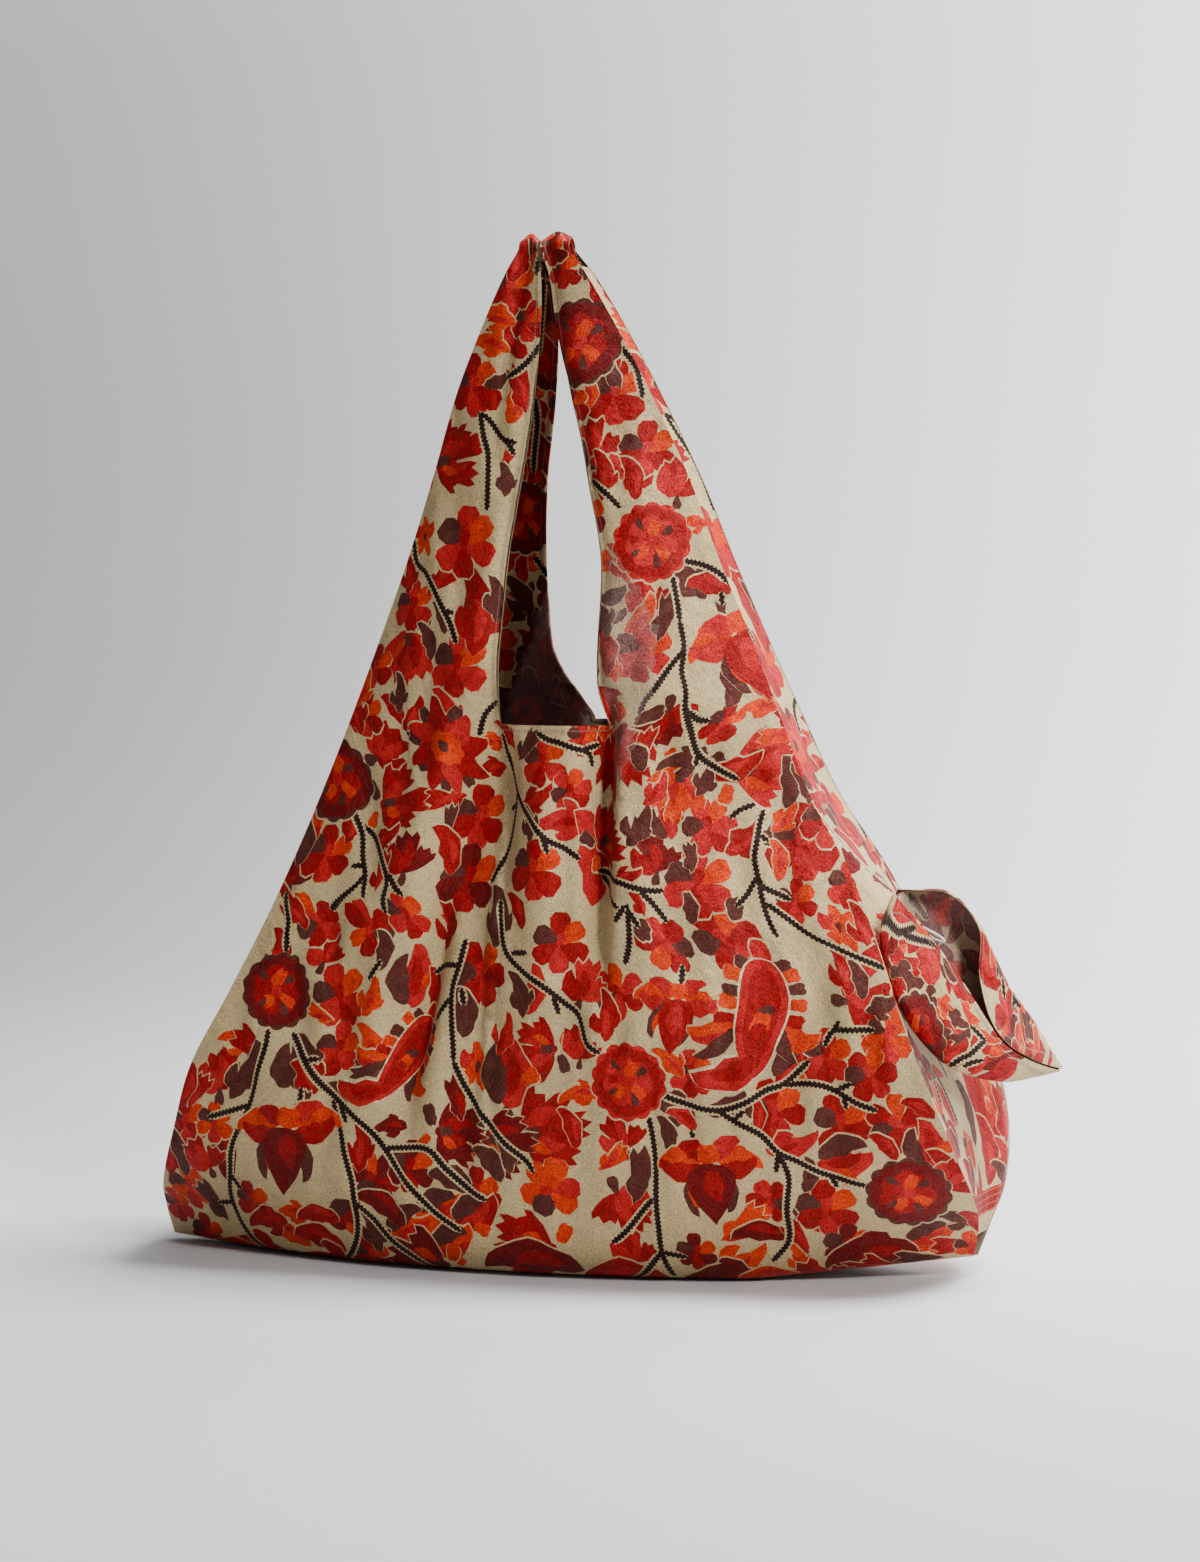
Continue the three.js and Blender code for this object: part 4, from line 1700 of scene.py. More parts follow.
def distance_to(points: Array, line: Array) -> tuple[Array, Array]:
    """Distance to an open line.

    Args:
        points: rows of points.
        line: rows of the line's points.

    Returns:
        The distance of each point to the line, and how far along the line its nearest point lies.
    """
    a, b = line[:-1], line[1:]
    span = b - a
    long = np.linalg.norm(span, axis=1)
    begin = np.concatenate([[0], np.cumsum(long)[:-1]])
    best = np.full(len(points), 1e9)
    along = np.zeros(len(points))
    for start, step, size, first in zip(a, span, long, begin):
        t = np.clip(((points - start) @ step) / size**2, 0, 1)
        gap = np.linalg.norm(points - start - t[:, None] * step, axis=1)
        closer = gap < best
        best[closer] = gap[closer]
        along[closer] = first + t[closer] * size
    return best, along


def sides_of(triangles: Array) -> Array:
    """Returns the sides of triangles: the first of each, then the second and the third."""
    return np.concatenate([triangles[:, [0, 1]], triangles[:, [1, 2]], triangles[:, [2, 0]]])


@dataclass
class Skin:
    """The two faces of a sheet with its printed patches, joined round the rim, as one mesh.

    opening is the line of the hemmed edge on the flat cloth, if there is one. grid is the pitch of the points
    between the shapes, hem_rails are the lines beside the opening and hem_reach is how far from it the hem's
    distance is kept, in mm.
    """

    sheet: Sheet
    patches: list[Patch]
    opening: Array | None = None
    grid: float = 6.4
    hem_rails: tuple[float, ...] = (1.3, 2.6, 3.9, 6.0)
    hem_reach: float = 12.0

    def __post_init__(self) -> None:
        """Cuts the flat cloth along the print."""
        self.outline = self.sheet.edge()
        self.cut()

    def cut(self) -> None:
        """Makes the flat triangles: once along every outline, then again along the ones that show."""
        points, edges = self.joined([self.outline, *(patch.outline for patch in self.patches)], True)
        points, triangles = self.triangulated(points, edges)
        inks = self.inked(points[triangles].mean(axis=1))
        shown = self.seams(triangles, inks)
        used, renumbered = np.unique(shown, return_inverse=True)
        points, edges = points[used], renumbered.reshape(-1, 2)
        if self.opening is not None:
            step = unit(np.gradient(self.opening, axis=0))
            side = np.stack([step[:, 1], -step[:, 0]], axis=-1)
            rails, rail_edges = self.joined([self.opening + side * rail for rail in self.hem_rails], False)
            edges = np.concatenate([edges, rail_edges + len(points)])
            points = np.concatenate([points, rails])
        low, high = self.outline.min(axis=0), self.outline.max(axis=0)
        rows = []
        for i, row in enumerate(np.arange(low[1], high[1], self.grid * 0.866)):
            across = np.arange(low[0] + (i % 2) * self.grid / 2, high[0], self.grid)
            rows.append(np.stack([across, np.full_like(across, row)], axis=-1))
        grid = np.concatenate(rows)
        points = np.concatenate([points, grid[within(grid, self.outline)]])
        self.points, self.triangles = self.triangulated(points, edges)
        self.middles = self.points[self.triangles].mean(axis=1)
        self.inks = self.inked(self.middles)

    @staticmethod
    def joined(lines: list[Array], closed: bool) -> tuple[Array, Array]:
        """Returns the points of several lines, and the edges along them."""
        edges, count = [], 0
        for line in lines:
            index = np.arange(len(line)) + count
            pairs = np.stack([index, np.roll(index, -1)], axis=-1)
            edges.append(pairs if closed else pairs[:-1])
            count += len(line)
        return np.concatenate(lines), np.concatenate(edges)

    def triangulated(self, points: Array, edges: Array) -> tuple[Array, Array]:
        """Returns the points and the triangles of the cloth, cut along the edges."""
        vertices, _, faces, *_ = delaunay_2d_cdt(
            [Vector(p) for p in points.tolist()], edges.tolist(), [], 0, 0.01, False
        )
        places = np.array([(v[0], v[1]) for v in vertices])
        triangles = np.array([f for f in faces if len(f) == 3])
        triangles = triangles[within(places[triangles].mean(axis=1), self.outline)]
        used, renumbered = np.unique(triangles, return_inverse=True)
        return places[used], renumbered.reshape(-1, 3)

    @staticmethod
    def seams(triangles: Array, inks: Array) -> Array:
        """Returns the edges between two inks, and those at the outline."""
        edges = np.sort(sides_of(triangles), axis=1)
        ink = np.tile(inks, 3)
        order = np.lexsort((edges[:, 1], edges[:, 0]))
        edges, ink = edges[order], ink[order]
        twin = np.all(edges[1:] == edges[:-1], axis=1)
        same = twin & (ink[1:] == ink[:-1])
        dull = np.zeros(len(edges), dtype=bool)
        dull[1:] |= same
        dull[:-1] |= same
        return np.unique(edges[~dull], axis=0)

    def inked(self, middles: Array) -> Array:
        """Returns for each triangle's middle the ink of the last shape over it."""
        letters = "".join(INKS)
        inks = np.zeros(len(middles), dtype=int)
        order = np.argsort(middles[:, 1])
        ways = middles[order, 1]
        for patch in self.patches:
            low, high = patch.outline.min(axis=0), patch.outline.max(axis=0)
            span = order[np.searchsorted(ways, low[1]):np.searchsorted(ways, high[1])]
            across = middles[span, 0]
            near = span[(across > low[0]) & (across < high[0])]
            if len(near):
                inks[near[within(middles[near], patch.outline)]] = letters.index(patch.ink)
        return inks

    def build(
        self,
        painted_sheen: Callable[[Array, Array], Array] | None = None,
        turned: Callable[[Array], Array] | None = None,
    ) -> bpy.types.Object:
        """Makes the mesh object.

        Args:
            painted_sheen: paints a pale sheen, a painted highlight, over the outer face's colours, given flat
                places and colours.
            turned: how far the inner face shows the cloth's right side, given points in mm, from 0 to 1.

        Returns:
            The object, with its colours, its cloth map and its hem distance.
        """
        middle, normal = self.sheet.place(self.points)
        outer = middle + normal * SKIN
        inner = middle - normal * SKIN
        count = len(self.points)
        front = self.triangles if self.sheet.outward > 0 else self.triangles[:, ::-1]
        rim = self.rim(front)
        rim_faces = np.concatenate([
            np.stack([rim[:, 1], rim[:, 0], rim[:, 0] + count], axis=-1),
            np.stack([rim[:, 1], rim[:, 0] + count, rim[:, 1] + count], axis=-1),
        ])
        faces = np.concatenate([front, front[:, ::-1] + count, rim_faces])
        mesh = bpy.data.meshes.new(self.sheet.name)
        mesh.from_pydata(in_metres(np.concatenate([outer, inner])).tolist(), [], faces.tolist())
        palette = np.array([[*ink.linear()[:3], 0.0 if ink is Ink.GROUND else 1.0] for ink in INKS.values()])
        inside = palette[self.inks]
        # Painted sheen, where given: a pale highlight painted over the outer face's print
        colours = inside if painted_sheen is None else painted_sheen(self.middles, inside)
        rim_colour = np.tile(palette[0], (len(rim_faces), 1))
        corner = np.repeat(np.concatenate([colours, inside, rim_colour]), 3, axis=0)
        ink = mesh.color_attributes.new("ink", "FLOAT_COLOR", "CORNER")
        ink.data.foreach_set("color", corner.astype(np.float32).ravel())
        back = mesh.attributes.new("reverse", "FLOAT", "POINT")
        muted = np.ones(count) if turned is None else 1 - turned(middle)
        back.data.foreach_set("value", np.concatenate([np.zeros(count), muted]).astype(np.float32))
        gap = np.full(count, self.hem_reach)
        along = np.zeros(count)
        if self.opening is not None:
            gap, along = distance_to(self.points, self.opening)
            gap = np.minimum(gap, self.hem_reach)
        hem = mesh.attributes.new("hem", "FLOAT_VECTOR", "POINT")
        hem_rows = np.stack([gap, along, np.zeros(count)], axis=-1)
        hem.data.foreach_set("vector", np.concatenate([hem_rows, hem_rows]).astype(np.float32).ravel())
        cloth = mesh.uv_layers.new(name="cloth")
        both = np.concatenate([self.points, self.points + [1000.0, 0.0]])
        loops = np.empty(len(mesh.loops), dtype=np.int32)
        mesh.loops.foreach_get("vertex_index", loops)
        cloth.data.foreach_set("uv", (both[loops] * 0.01).astype(np.float32).ravel())
        mesh.normals_split_custom_set_from_vertices(np.concatenate([normal, -normal]).tolist())
        log.info("%s: %d triangles", self.sheet.name, len(faces))
        return in_scene(self.sheet.name, mesh)

    @staticmethod
    def rim(triangles: Array) -> Array:
        """Returns the edges that belong to one triangle only, in its direction."""
        edges = sides_of(triangles)
        key = np.sort(edges, axis=1)
        code = key[:, 0].astype(np.int64) * (triangles.max() + 1) + key[:, 1]
        _, first, times = np.unique(code, return_index=True, return_counts=True)
        return edges[first[times == 1]]


def in_metres(points: Array) -> Array:
    """Returns points in metres from the middle of the outline."""
    return (points - np.array([MIDDLE_X, MIDDLE_Y, 0.0])) * MM


def in_scene(name: str, data: bpy.types.ID) -> bpy.types.Object:
    """Returns a new object of the scene."""
    obj = bpy.data.objects.new(name, data)
    bpy.context.scene.collection.objects.link(obj)
    return obj


def aim(obj: bpy.types.Object, where: Vector, at: Vector) -> None:
    """Puts a lamp or camera in its place and turns it to a point, in metres."""
    obj.location = where
    obj.rotation_euler = (at - where).to_track_quat("-Z", "Y").to_euler()


class Nodes:
    """Builds the nodes of one material."""

    def __init__(self, name: str) -> None:
        """Makes an empty material."""
        self.material = bpy.data.materials.new(name)
        self.material.use_nodes = True
        self.tree = self.material.node_tree
        self.tree.nodes.clear()

    def add(self, kind: str, **settings: object) -> bpy.types.Node:
        """Adds a node and sets its properties and inputs.

        Args:
            kind: the node's type, without its prefix.
            settings: properties by their names, and inputs by "in_" and their index.

        Returns:
            The node.
        """
        node = self.tree.nodes.new("ShaderNode" + kind)
        for name, value in settings.items():
            if not name.startswith("in_"):
                setattr(node, name, value)
        for name, value in settings.items():
            if name.startswith("in_"):
                self.feed(node.inputs[int(name[3:])], value)
        return node

    def feed(self, socket: bpy.types.NodeSocket, value: object) -> None:
        """Links a socket to an output, or sets its value."""
        if isinstance(value, bpy.types.NodeSocket):
            self.tree.links.new(value, socket)
        else:
            socket.default_value = value

    def math(self, operation: str, *values: object) -> bpy.types.NodeSocket:
        """Returns the output of a math node."""
        node = self.add("Math", operation=operation)
        for socket, value in zip(node.inputs, values):
            self.feed(socket, value)
        return node.outputs[0]

    def mix(self, part: object, first: object, second: object, blend: str = "MIX") -> bpy.types.NodeSocket:
        """Returns two colours mixed."""
        node = self.add("Mix", data_type="RGBA", blend_type=blend)
        self.feed(node.inputs[0], part)
        self.feed(node.inputs[6], first)
        self.feed(node.inputs[7], second)
        return node.outputs[2]

    def ramp(
        self, value: object, low: float, high: float, first: float = 0.0, last: float = 1.0,
    ) -> bpy.types.NodeSocket:
        """Returns a value run smoothly from one range, low to high, to another, first to last."""
        node = self.add("MapRange", interpolation_type="SMOOTHSTEP")
        for socket, given in zip(node.inputs, (value, low, high, first, last)):
            self.feed(socket, given)
        return node.outputs[0]

    def noise(
        self, where: object, scale: float, detail: float = 2.0, distortion: float = 0.0,
    ) -> bpy.types.NodeSocket:
        """Returns a noise's value."""
        node = self.add("TexNoise")
        self.feed(node.inputs["Vector"], where)
        self.feed(node.inputs["Scale"], scale)
        self.feed(node.inputs["Detail"], detail)
        self.feed(node.inputs["Distortion"], distortion)
        return node.outputs[0]

    def finish(self, **inputs: object) -> bpy.types.Material:
        """Ends the material in its surface.

        Args:
            inputs: the surface's inputs by their names, in small letters and with underscores.

        Returns:
            The material.
        """
        shader = self.add("BsdfPrincipled")
        sockets = {socket.name.lower().replace(" ", "_"): socket for socket in shader.inputs}
        for name, value in inputs.items():
            self.feed(sockets[name], value)
        self.feed(self.add("OutputMaterial").inputs[0], shader.outputs[0])
        return self.material


@dataclass(frozen=True)
class Silk:
    """Thin printed crepe, rough with fine stitching in its printed shapes.

    stitch and grain are how fine the stitching and the crepe are on the cloth map, on which 1 is 10 cm.
    """

    name: str
    roughness: float = 0.52
    sheen: float = 0.02
    stitch: float = 17.0
    grain: float = 95.0
    grain_depth: float = 0.6
    stitch_depth: float = 0.5
    reverse_fade: float = 0.5
    hemmed: bool = False
    stretch: tuple[float, ...] = (1.0, 0.45, 1.0)
    pale_tint: tuple[float, ...] = (1.35, 2.6, 2.3, 1.0)
    deep_tint: tuple[float, ...] = (0.68, 0.6, 0.6, 1.0)
    # Painted shade: the colour darkened into the fine creases
    crease_colour: tuple[float, ...] = (0.16, 0.10, 0.06, 1.0)
    reverse_colour: tuple[float, ...] = (0.38, 0.25, 0.25, 1.0)
    blot_colour: tuple[float, ...] = (0.42, 0.34, 0.30, 1.0)
    thread_colour: tuple[float, ...] = (0.50, 0.41, 0.29, 1.0)
    # Painted shade: the colour darkened into the hem's stitch groove
    dip_colour: tuple[float, ...] = (0.10, 0.03, 0.03, 1.0)

    def make(self) -> bpy.types.Material:
        """Returns the material."""
        n = Nodes(self.name)
        cloth = n.add("UVMap", uv_map="cloth").outputs[0]
        drawn = n.add("Mapping", in_0=cloth, in_3=self.stretch).outputs[0]
        ink = n.add("Attribute", attribute_name="ink")
        base, printed = ink.outputs[0], ink.outputs[3]
        back = n.add("Attribute", attribute_name="reverse").outputs[2]
        grain = n.noise(cloth, self.grain)
        weave = n.noise(drawn, self.grain * 1.6, 1.0)
        lines = n.ramp(self.looped(n, n.noise(cloth, self.stitch, 1.5, 0.9), 9.0), 0.10, 0.34)
        creases = n.ramp(self.looped(n, n.noise(drawn, 26.0, 2.5, 1.2), 7.0), 0.0, 0.22)
        colour = n.mix(1.0, base, self.shade(n, cloth, printed, grain, weave, lines), "MULTIPLY")
        colour = self.worn(n, cloth, printed, creases, colour)
        colour = n.mix(back, colour, self.reverse(n, cloth, colour))
        height = self.relief(n, cloth, printed, grain, weave, lines, creases)
        rough = n.ramp(grain, 0.3, 0.7, self.roughness - 0.07, self.roughness + 0.1)
        if self.hemmed:
            hem = n.add("Attribute", attribute_name="hem").outputs[1]
            parts = n.add("SeparateXYZ", in_0=hem)
            gap, along = parts.outputs[0], parts.outputs[1]
            colour, roll = self.stitches(n, colour, gap, along)
            height = n.math("ADD", height, n.math("MULTIPLY", roll, 2.2))
        bump = n.add("Bump", in_0=0.55, in_1=0.0009)
        n.feed(bump.inputs["Height"], height)
        return n.finish(
            base_color=colour,
            roughness=rough,
            sheen_weight=self.sheen,
            sheen_roughness=0.45,
            specular_ior_level=0.08,
            normal=bump.outputs[0],
        )

    @staticmethod
    def looped(n: Nodes, value: object, times: float) -> bpy.types.NodeSocket:
        """Returns a noise folded up and down a number of times, which draws loops."""
        return n.math("PINGPONG", n.math("MULTIPLY", value, times), 0.5)

    def shade(
        self, n: Nodes, cloth: object, printed: object, grain: object, weave: object, lines: object,
    ) -> bpy.types.NodeSocket:
        """Makes the grey that varies the inks.

        Args:
            n: the material's nodes.
            cloth: the place on the cloth map.
            printed: 1 on a printed shape, 0 on bare ground.
            grain: the crepe's grain.
            weave: the weave.
            lines: the stitching.

        Returns:
            The grey, about 1.
        """
        deep = n.math("MULTIPLY", printed, self.stitch_depth)
        stitched = n.math("MULTIPLY", n.math("SUBTRACT", lines, 0.55), deep)
        speck = n.math("MULTIPLY", n.math("SUBTRACT", grain, 0.5), self.grain_depth * 2.2)
        fine = n.math("MULTIPLY", n.math("SUBTRACT", weave, 0.5), self.grain_depth * 1.4)
        slow = n.math("MULTIPLY", n.math("SUBTRACT", n.noise(cloth, 2.6, 3.0), 0.5), 0.34)
        level = n.math("ADD", n.math("ADD", stitched, speck), n.math("ADD", n.math("ADD", fine, slow), 1.0))
        return n.add("CombineColor", in_0=level, in_1=level, in_2=level).outputs[0]

    def worn(
        self, n: Nodes, cloth: object, printed: object, creases: object, colour: object,
    ) -> bpy.types.NodeSocket:
        """Makes the printed shapes paler and deeper in clouds, and paints shade into fine creases.

        Args:
            n: the material's nodes.
            cloth: the place on the cloth map.
            printed: 1 on a printed shape, 0 on bare ground.
            creases: 0 in a crease, 1 beside it.
            colour: the cloth's colour.

        Returns:
            The colour.
        """
        paler = n.mix(1.0, colour, self.pale_tint, "MULTIPLY")
        cloud = n.ramp(n.noise(cloth, 9.0, 3.0), 0.46, 0.66, 0.0, 0.3)
        colour = n.mix(n.math("MULTIPLY", printed, cloud), colour, paler)
        deeper = n.mix(1.0, colour, self.deep_tint, "MULTIPLY")
        shadow = n.ramp(n.noise(cloth, 13.0, 3.0, 0.5), 0.5, 0.68, 0.0, 0.6)
        colour = n.mix(n.math("MULTIPLY", printed, shadow), colour, deeper)
        pale = n.math("SUBTRACT", 1.0, n.math("MULTIPLY", printed, 0.5))
        # Painted shade: fine creases are darkened, more on the bare ground than on the print
        crease_shade = n.math("MULTIPLY", n.math("SUBTRACT", 1.0, creases), n.math("MULTIPLY", pale, 0.34))
        return n.mix(crease_shade, colour, self.crease_colour)

    def reverse(self, n: Nodes, cloth: object, colour: object) -> bpy.types.NodeSocket:
        """Returns the duller colour of the cloth's wrong side, partly lightened as painted light for the glow
        through the thin silk.
        """
        # Partly painted light: the wrong side's muted print is also lightened, standing in for light shining
        # through the silk
        washed_out = n.mix(self.reverse_fade, colour, self.reverse_colour)
        blots = n.ramp(n.noise(cloth, 60.0, 3.0, 0.4), 0.46, 0.58)
        return n.mix(n.math("MULTIPLY", blots, 0.22), washed_out, self.blot_colour)

    @staticmethod
    def relief(
        n: Nodes,
        cloth: object,
        printed: object,
        grain: object,
        weave: object,
        lines: object,
        creases: object,
    ) -> bpy.types.NodeSocket:
        """Makes the height of the bumps.

        Args:
            n: the material's nodes.
            cloth: the place on the cloth map.
            printed: 1 on a printed shape, 0 on bare ground.
            grain: the crepe's grain.
            weave: the weave.
            lines: the stitching.
            creases: 0 in a crease, 1 beside it.

        Returns:
            The height.
        """
        height = n.math("ADD", n.math("MULTIPLY", grain, 0.5), n.math("MULTIPLY", weave, 0.35))
        height = n.math("ADD", height, n.math("MULTIPLY", n.math("MULTIPLY", lines, printed), 0.35))
        height = n.math("ADD", height, n.math("MULTIPLY", n.noise(cloth, 14.0, 3.0, 0.3), 4.2))
        return n.math("ADD", height, n.math("MULTIPLY", creases, 0.5))

    def stitches(
        self, n: Nodes, colour: object, gap: object, along: object,
    ) -> tuple[bpy.types.NodeSocket, ...]:
        """Adds a rolled hem and its line of pale stitching, with painted shade in the groove along it.

        Args:
            n: the material's nodes.
            colour: the cloth's colour.
            gap: distance from the hemmed edge, in mm.
            along: length along the edge, in mm.

        Returns:
            The colour and the height of the roll.
        """
        dash = n.ramp(n.math("PINGPONG", along, 1.15), 0.12, 0.4)
        off = n.math("ABSOLUTE", n.math("SUBTRACT", gap, 3.0))
        line = n.math("MULTIPLY", n.ramp(off, 0.42, 0.2), dash)
        colour = n.mix(n.math("MULTIPLY", line, 0.32), colour, self.thread_colour)
        dip = n.ramp(n.math("ABSOLUTE", n.math("SUBTRACT", gap, 3.3)), 1.6, 0.2)
        # Painted shade: the groove along the stitching, where the roll dips, is darkened
        colour = n.mix(n.math("MULTIPLY", dip, 0.28), colour, self.dip_colour)
        roll = n.math("SUBTRACT", n.ramp(gap, 5.5, 3.0), n.math("MULTIPLY", dip, 0.6))
        return colour, roll


def paint_sheen(places: Array, colours: Array, sheen_region: Array) -> Array:
    """Paints a sheen over the print within a region of the cloth: a painted highlight that pales it to
    pinkish mauve.
    """
    washed_out = colours.copy()
    hit = within(places, sheen_region)
    # Painted highlight: the print inside the region is paled towards pinkish mauve in place of the silk's
    # sheen
    washed_out[hit, :3] = colours[hit, :3] * 0.66 + np.array([0.30, 0.19, 0.18]) * 0.26
    return washed_out


@dataclass
class Bag:
    """The bag's cloth: its two panels, its side strips and its stow pouch.

    The back repeats the front's chart mirrored at half of mirror. Each strip repeats it moved sideways, the
    right one only from strip_chart_top up. Sizes are in mm.
    """

    seed: int = SEED
    mirror: float = -30.0
    left_shift: float = -70.0
    right_shift: float = 75.0
    strip_reach: float = 110.0
    strip_chart_top: float = 262.0
    # Painted sheen: the outline, as x and way, of the pale pinkish-mauve highlight painted over the right
    # strap's print
    faded_patch = Table(
        "x way",
        """
        24 430
        40 408
        54 380
        54 350
        48 335
        44 310
        36 284
        30 300
        25 340
        22 380
        22 430
        """,
    )

    def __post_init__(self) -> None:
        """Readies the print, whose unevenness runs on from piece to piece."""
        self.print = Print(self.seed)

    def panel(self, front: bool) -> bpy.types.Object:
        """Makes the front or the back."""
        sheet = Panel(front=front)

        def to_flat(places: Array) -> Array:
            """Takes chart places to the flat cloth, mirrored on the back."""
            return sheet.from_chart(places if front else places * (-1, 1) + (self.mirror, 0))

        sheen_region = to_flat(self.faded_patch.rows)

        def painted_sheen(places: Array, colours: Array) -> Array:
            """Paints the pale sheen on the right strap, a painted highlight over the print."""
            return paint_sheen(places, colours, sheen_region)

        box = (-420, 420, FOOT_WAY, RIDGE_WAY)
        patches = self.print.chart(FRONT_CHART, FRONT_STEMS, to_flat, box)
        if not front:
            patches += self.print.chart(INSIDE_CHART, INSIDE_STEMS, sheet.from_chart, box)
        skin = Skin(sheet, self.print.fill(patches, sheet.edge()), sheet.opening())
        obj = skin.build(painted_sheen if front else None, None if front else self.facing)
        name = "panel_silk_front" if front else "panel_silk_back"
        obj.data.materials.append(Silk(name, hemmed=True).make())
        return obj

    @staticmethod
    def facing(points: Array) -> Array:
        """How far the inner face of the back's left strap shows the right side, above its slanting edge."""
        edge = -42 + (points[:, 2] - 398) * 0.41
        return 1 - smoothstep(points[:, 0], edge - 0.6, edge + 0.6)

    def strip(self, right: bool) -> bpy.types.Object:
        """Makes the right or left side strip."""
        sheet = Strip(right=right)
        offset = self.right_shift if right else self.left_shift

        def to_flat(places: Array) -> Array:
            """Takes chart places to the strip's own flat cloth."""
            return np.stack([places[:, 0] + offset, places[:, 1]], axis=-1)

        reach, top = self.strip_reach, self.strip_chart_top
        box = (-reach, reach, top if right else STRIP_FOOT, STRIP_TOP)
        patches = self.print.chart(FRONT_CHART, FRONT_STEMS, to_flat, box)
        if right:
            own = (-reach, reach, STRIP_FOOT, top)
            patches += self.print.chart(STRIP_CHART, STRIP_STEMS, lambda places: places, own, 0.98)
        patches = self.print.fill(patches, sheet.edge())
        if right:
            seam = np.array([float(v) for v in STRIP_SEAM.split()]).reshape(-1, 2)
            patches.append(self.print.band(seam, 1.5, 0.0, "w"))
            patches.append(self.print.band(seam, 0.5, 0.12, "s"))
            patches += self.border()
        obj = Skin(sheet, patches).build()
        obj.data.materials.append(Silk("strip_silk_right" if right else "strip_silk_left").make())
        return obj

    def border(self) -> list[Patch]:
        """Draws the fine stripes of the cloth's border at the foot of the strip, over a plain edge."""
        first, wide, dark_from = 27.5, 2.4, 1.5
        patches = [Patch(self.stripe(8.0, first), "g")]
        for i, ink in enumerate("ocococo"):
            low = first + wide * i
            patches.append(Patch(self.stripe(low, low + wide), ink))
            patches.append(Patch(self.stripe(low + dark_from, low + wide), "d"))
        return patches

    @staticmethod
    def stripe(low: float, high: float) -> Array:
        """Returns the outline of a level stripe across the strip, bowed down a little in its middle."""
        across = np.linspace(-60, 60, 41)
        bow = (across / 40) ** 2 * 3.0
        return np.concatenate([rows_of(across, low + bow), rows_of(across, high + bow)[::-1]])

    def pouch(self) -> bpy.types.Object:
        """Makes the stow pouch."""
        sheet = Pouch()
        box = (-120, 120, 0, POUCH_LONG)
        patches = self.print.chart(POUCH_CHART, POUCH_STEMS, lambda places: places, box, 0.95)
        up = np.linspace(0.5, POUCH_LONG - 0.5, 60)
        opening = np.concatenate([
            sheet.to_flat(np.zeros_like(up), up), sheet.to_flat(np.ones_like(up), up[::-1]),
        ])
        obj = Skin(sheet, self.print.fill(patches, sheet.edge()), opening).build()
        obj.data.materials.append(Silk("pouch_silk", hemmed=True, reverse_fade=0.3).make())
        return obj


@dataclass(frozen=True)
class Cord:
    """The pouch's loop: pale threads side by side with a slow twist, both ends sewn behind the front lip.

    root and end are where it starts and turns back, along the pouch, across it and out of its face. steps are
    the parts of each stretch of its path, sides are the corners of a thread's section, and sizes are in mm.
    """

    name: str = "loop_thread"
    threads: int = 4
    radius: float = 0.40
    offset: float = 0.52
    twist: float = 1.2
    spread: float = 2.2
    steps: int = 10
    sides: int = 7
    root: tuple[float, ...] = (18.0, 6.0, 30.6)
    end: tuple[float, ...] = (36.0, 0.0, 34.6)

    def path(self) -> Array:
        """Returns the points of the loop's middle line, in mm."""
        far, side = LOOP_TURNS.column("far"), LOOP_TURNS.column("side")
        along, reach, outwards = (low + (high - low) * far for low, high in zip(self.root, self.end))
        points = Pouch().spot(along, reach + self.spread * side, outwards)
        return curve_through(points, lambda long: self.steps)

    def build(self) -> bpy.types.Object:
        """Makes the loop's threads as one mesh."""
        path = self.path()
        ahead = unit(np.gradient(path, axis=0))
        middle = len(path) // 2
        flat = np.cross(path[middle] - path[0], path[middle + 12] - path[middle - 12])
        flat /= np.linalg.norm(flat)
        side = unit(np.cross(ahead, flat))
        up = np.cross(side, ahead)
        part = np.linspace(0, 1, len(path))
        turn = np.linspace(0, math.tau, self.sides, endpoint=False)
        rows, faces = [], []
        for thread in range(self.threads):
            angle = (math.tau * (thread / self.threads + self.twist * part))[:, None]
            centre = path + self.offset * (np.cos(angle) * side + np.sin(angle) * up)
            start = len(rows)
            for at, a, b in zip(centre, side, up):
                rows += [at + self.radius * (math.cos(t) * a + math.sin(t) * b) for t in turn]
            for i in range(len(path) - 1):
                for j in range(self.sides):
                    k = (j + 1) % self.sides
                    low, high = start + i * self.sides, start + (i + 1) * self.sides
                    faces.append((low + j, high + j, high + k, low + k))
            faces.append(tuple(start + j for j in range(self.sides)))
            last = start + (len(path) - 1) * self.sides
            faces.append(tuple(last + j for j in reversed(range(self.sides))))
        mesh = bpy.data.meshes.new("loop_cord")
        mesh.from_pydata(in_metres(np.array(rows)).tolist(), [], faces)
        mesh.validate()
        turned = bmesh.new()
        turned.from_mesh(mesh)
        bmesh.ops.recalc_face_normals(turned, faces=turned.faces)
        turned.to_mesh(mesh)
        turned.free()
        for polygon in mesh.polygons:
            polygon.use_smooth = len(polygon.vertices) == 4
        mesh.materials.append(self.make())
        log.info("loop_cord: %d faces", len(faces))
        return in_scene("loop_cord", mesh)

    def make(self) -> bpy.types.Material:
        """Returns the threads' material."""
        n = Nodes(self.name)
        where = n.add("TexCoord").outputs[3]
        fibre = n.noise(where, 900.0, 3.0)
        wave = n.noise(where, 260.0, 2.0)
        colour = n.mix(n.ramp(fibre, 0.35, 0.65), (0.62, 0.53, 0.40, 1.0), (0.88, 0.82, 0.70, 1.0))
        colour = n.mix(n.ramp(wave, 0.45, 0.7, 0.0, 0.25), colour, (0.46, 0.30, 0.22, 1.0))
        bump = n.add("Bump", in_0=0.5, in_1=0.0004)
        n.feed(bump.inputs["Height"], fibre)
        return n.finish(base_color=colour, roughness=0.75, normal=bump.outputs[0])


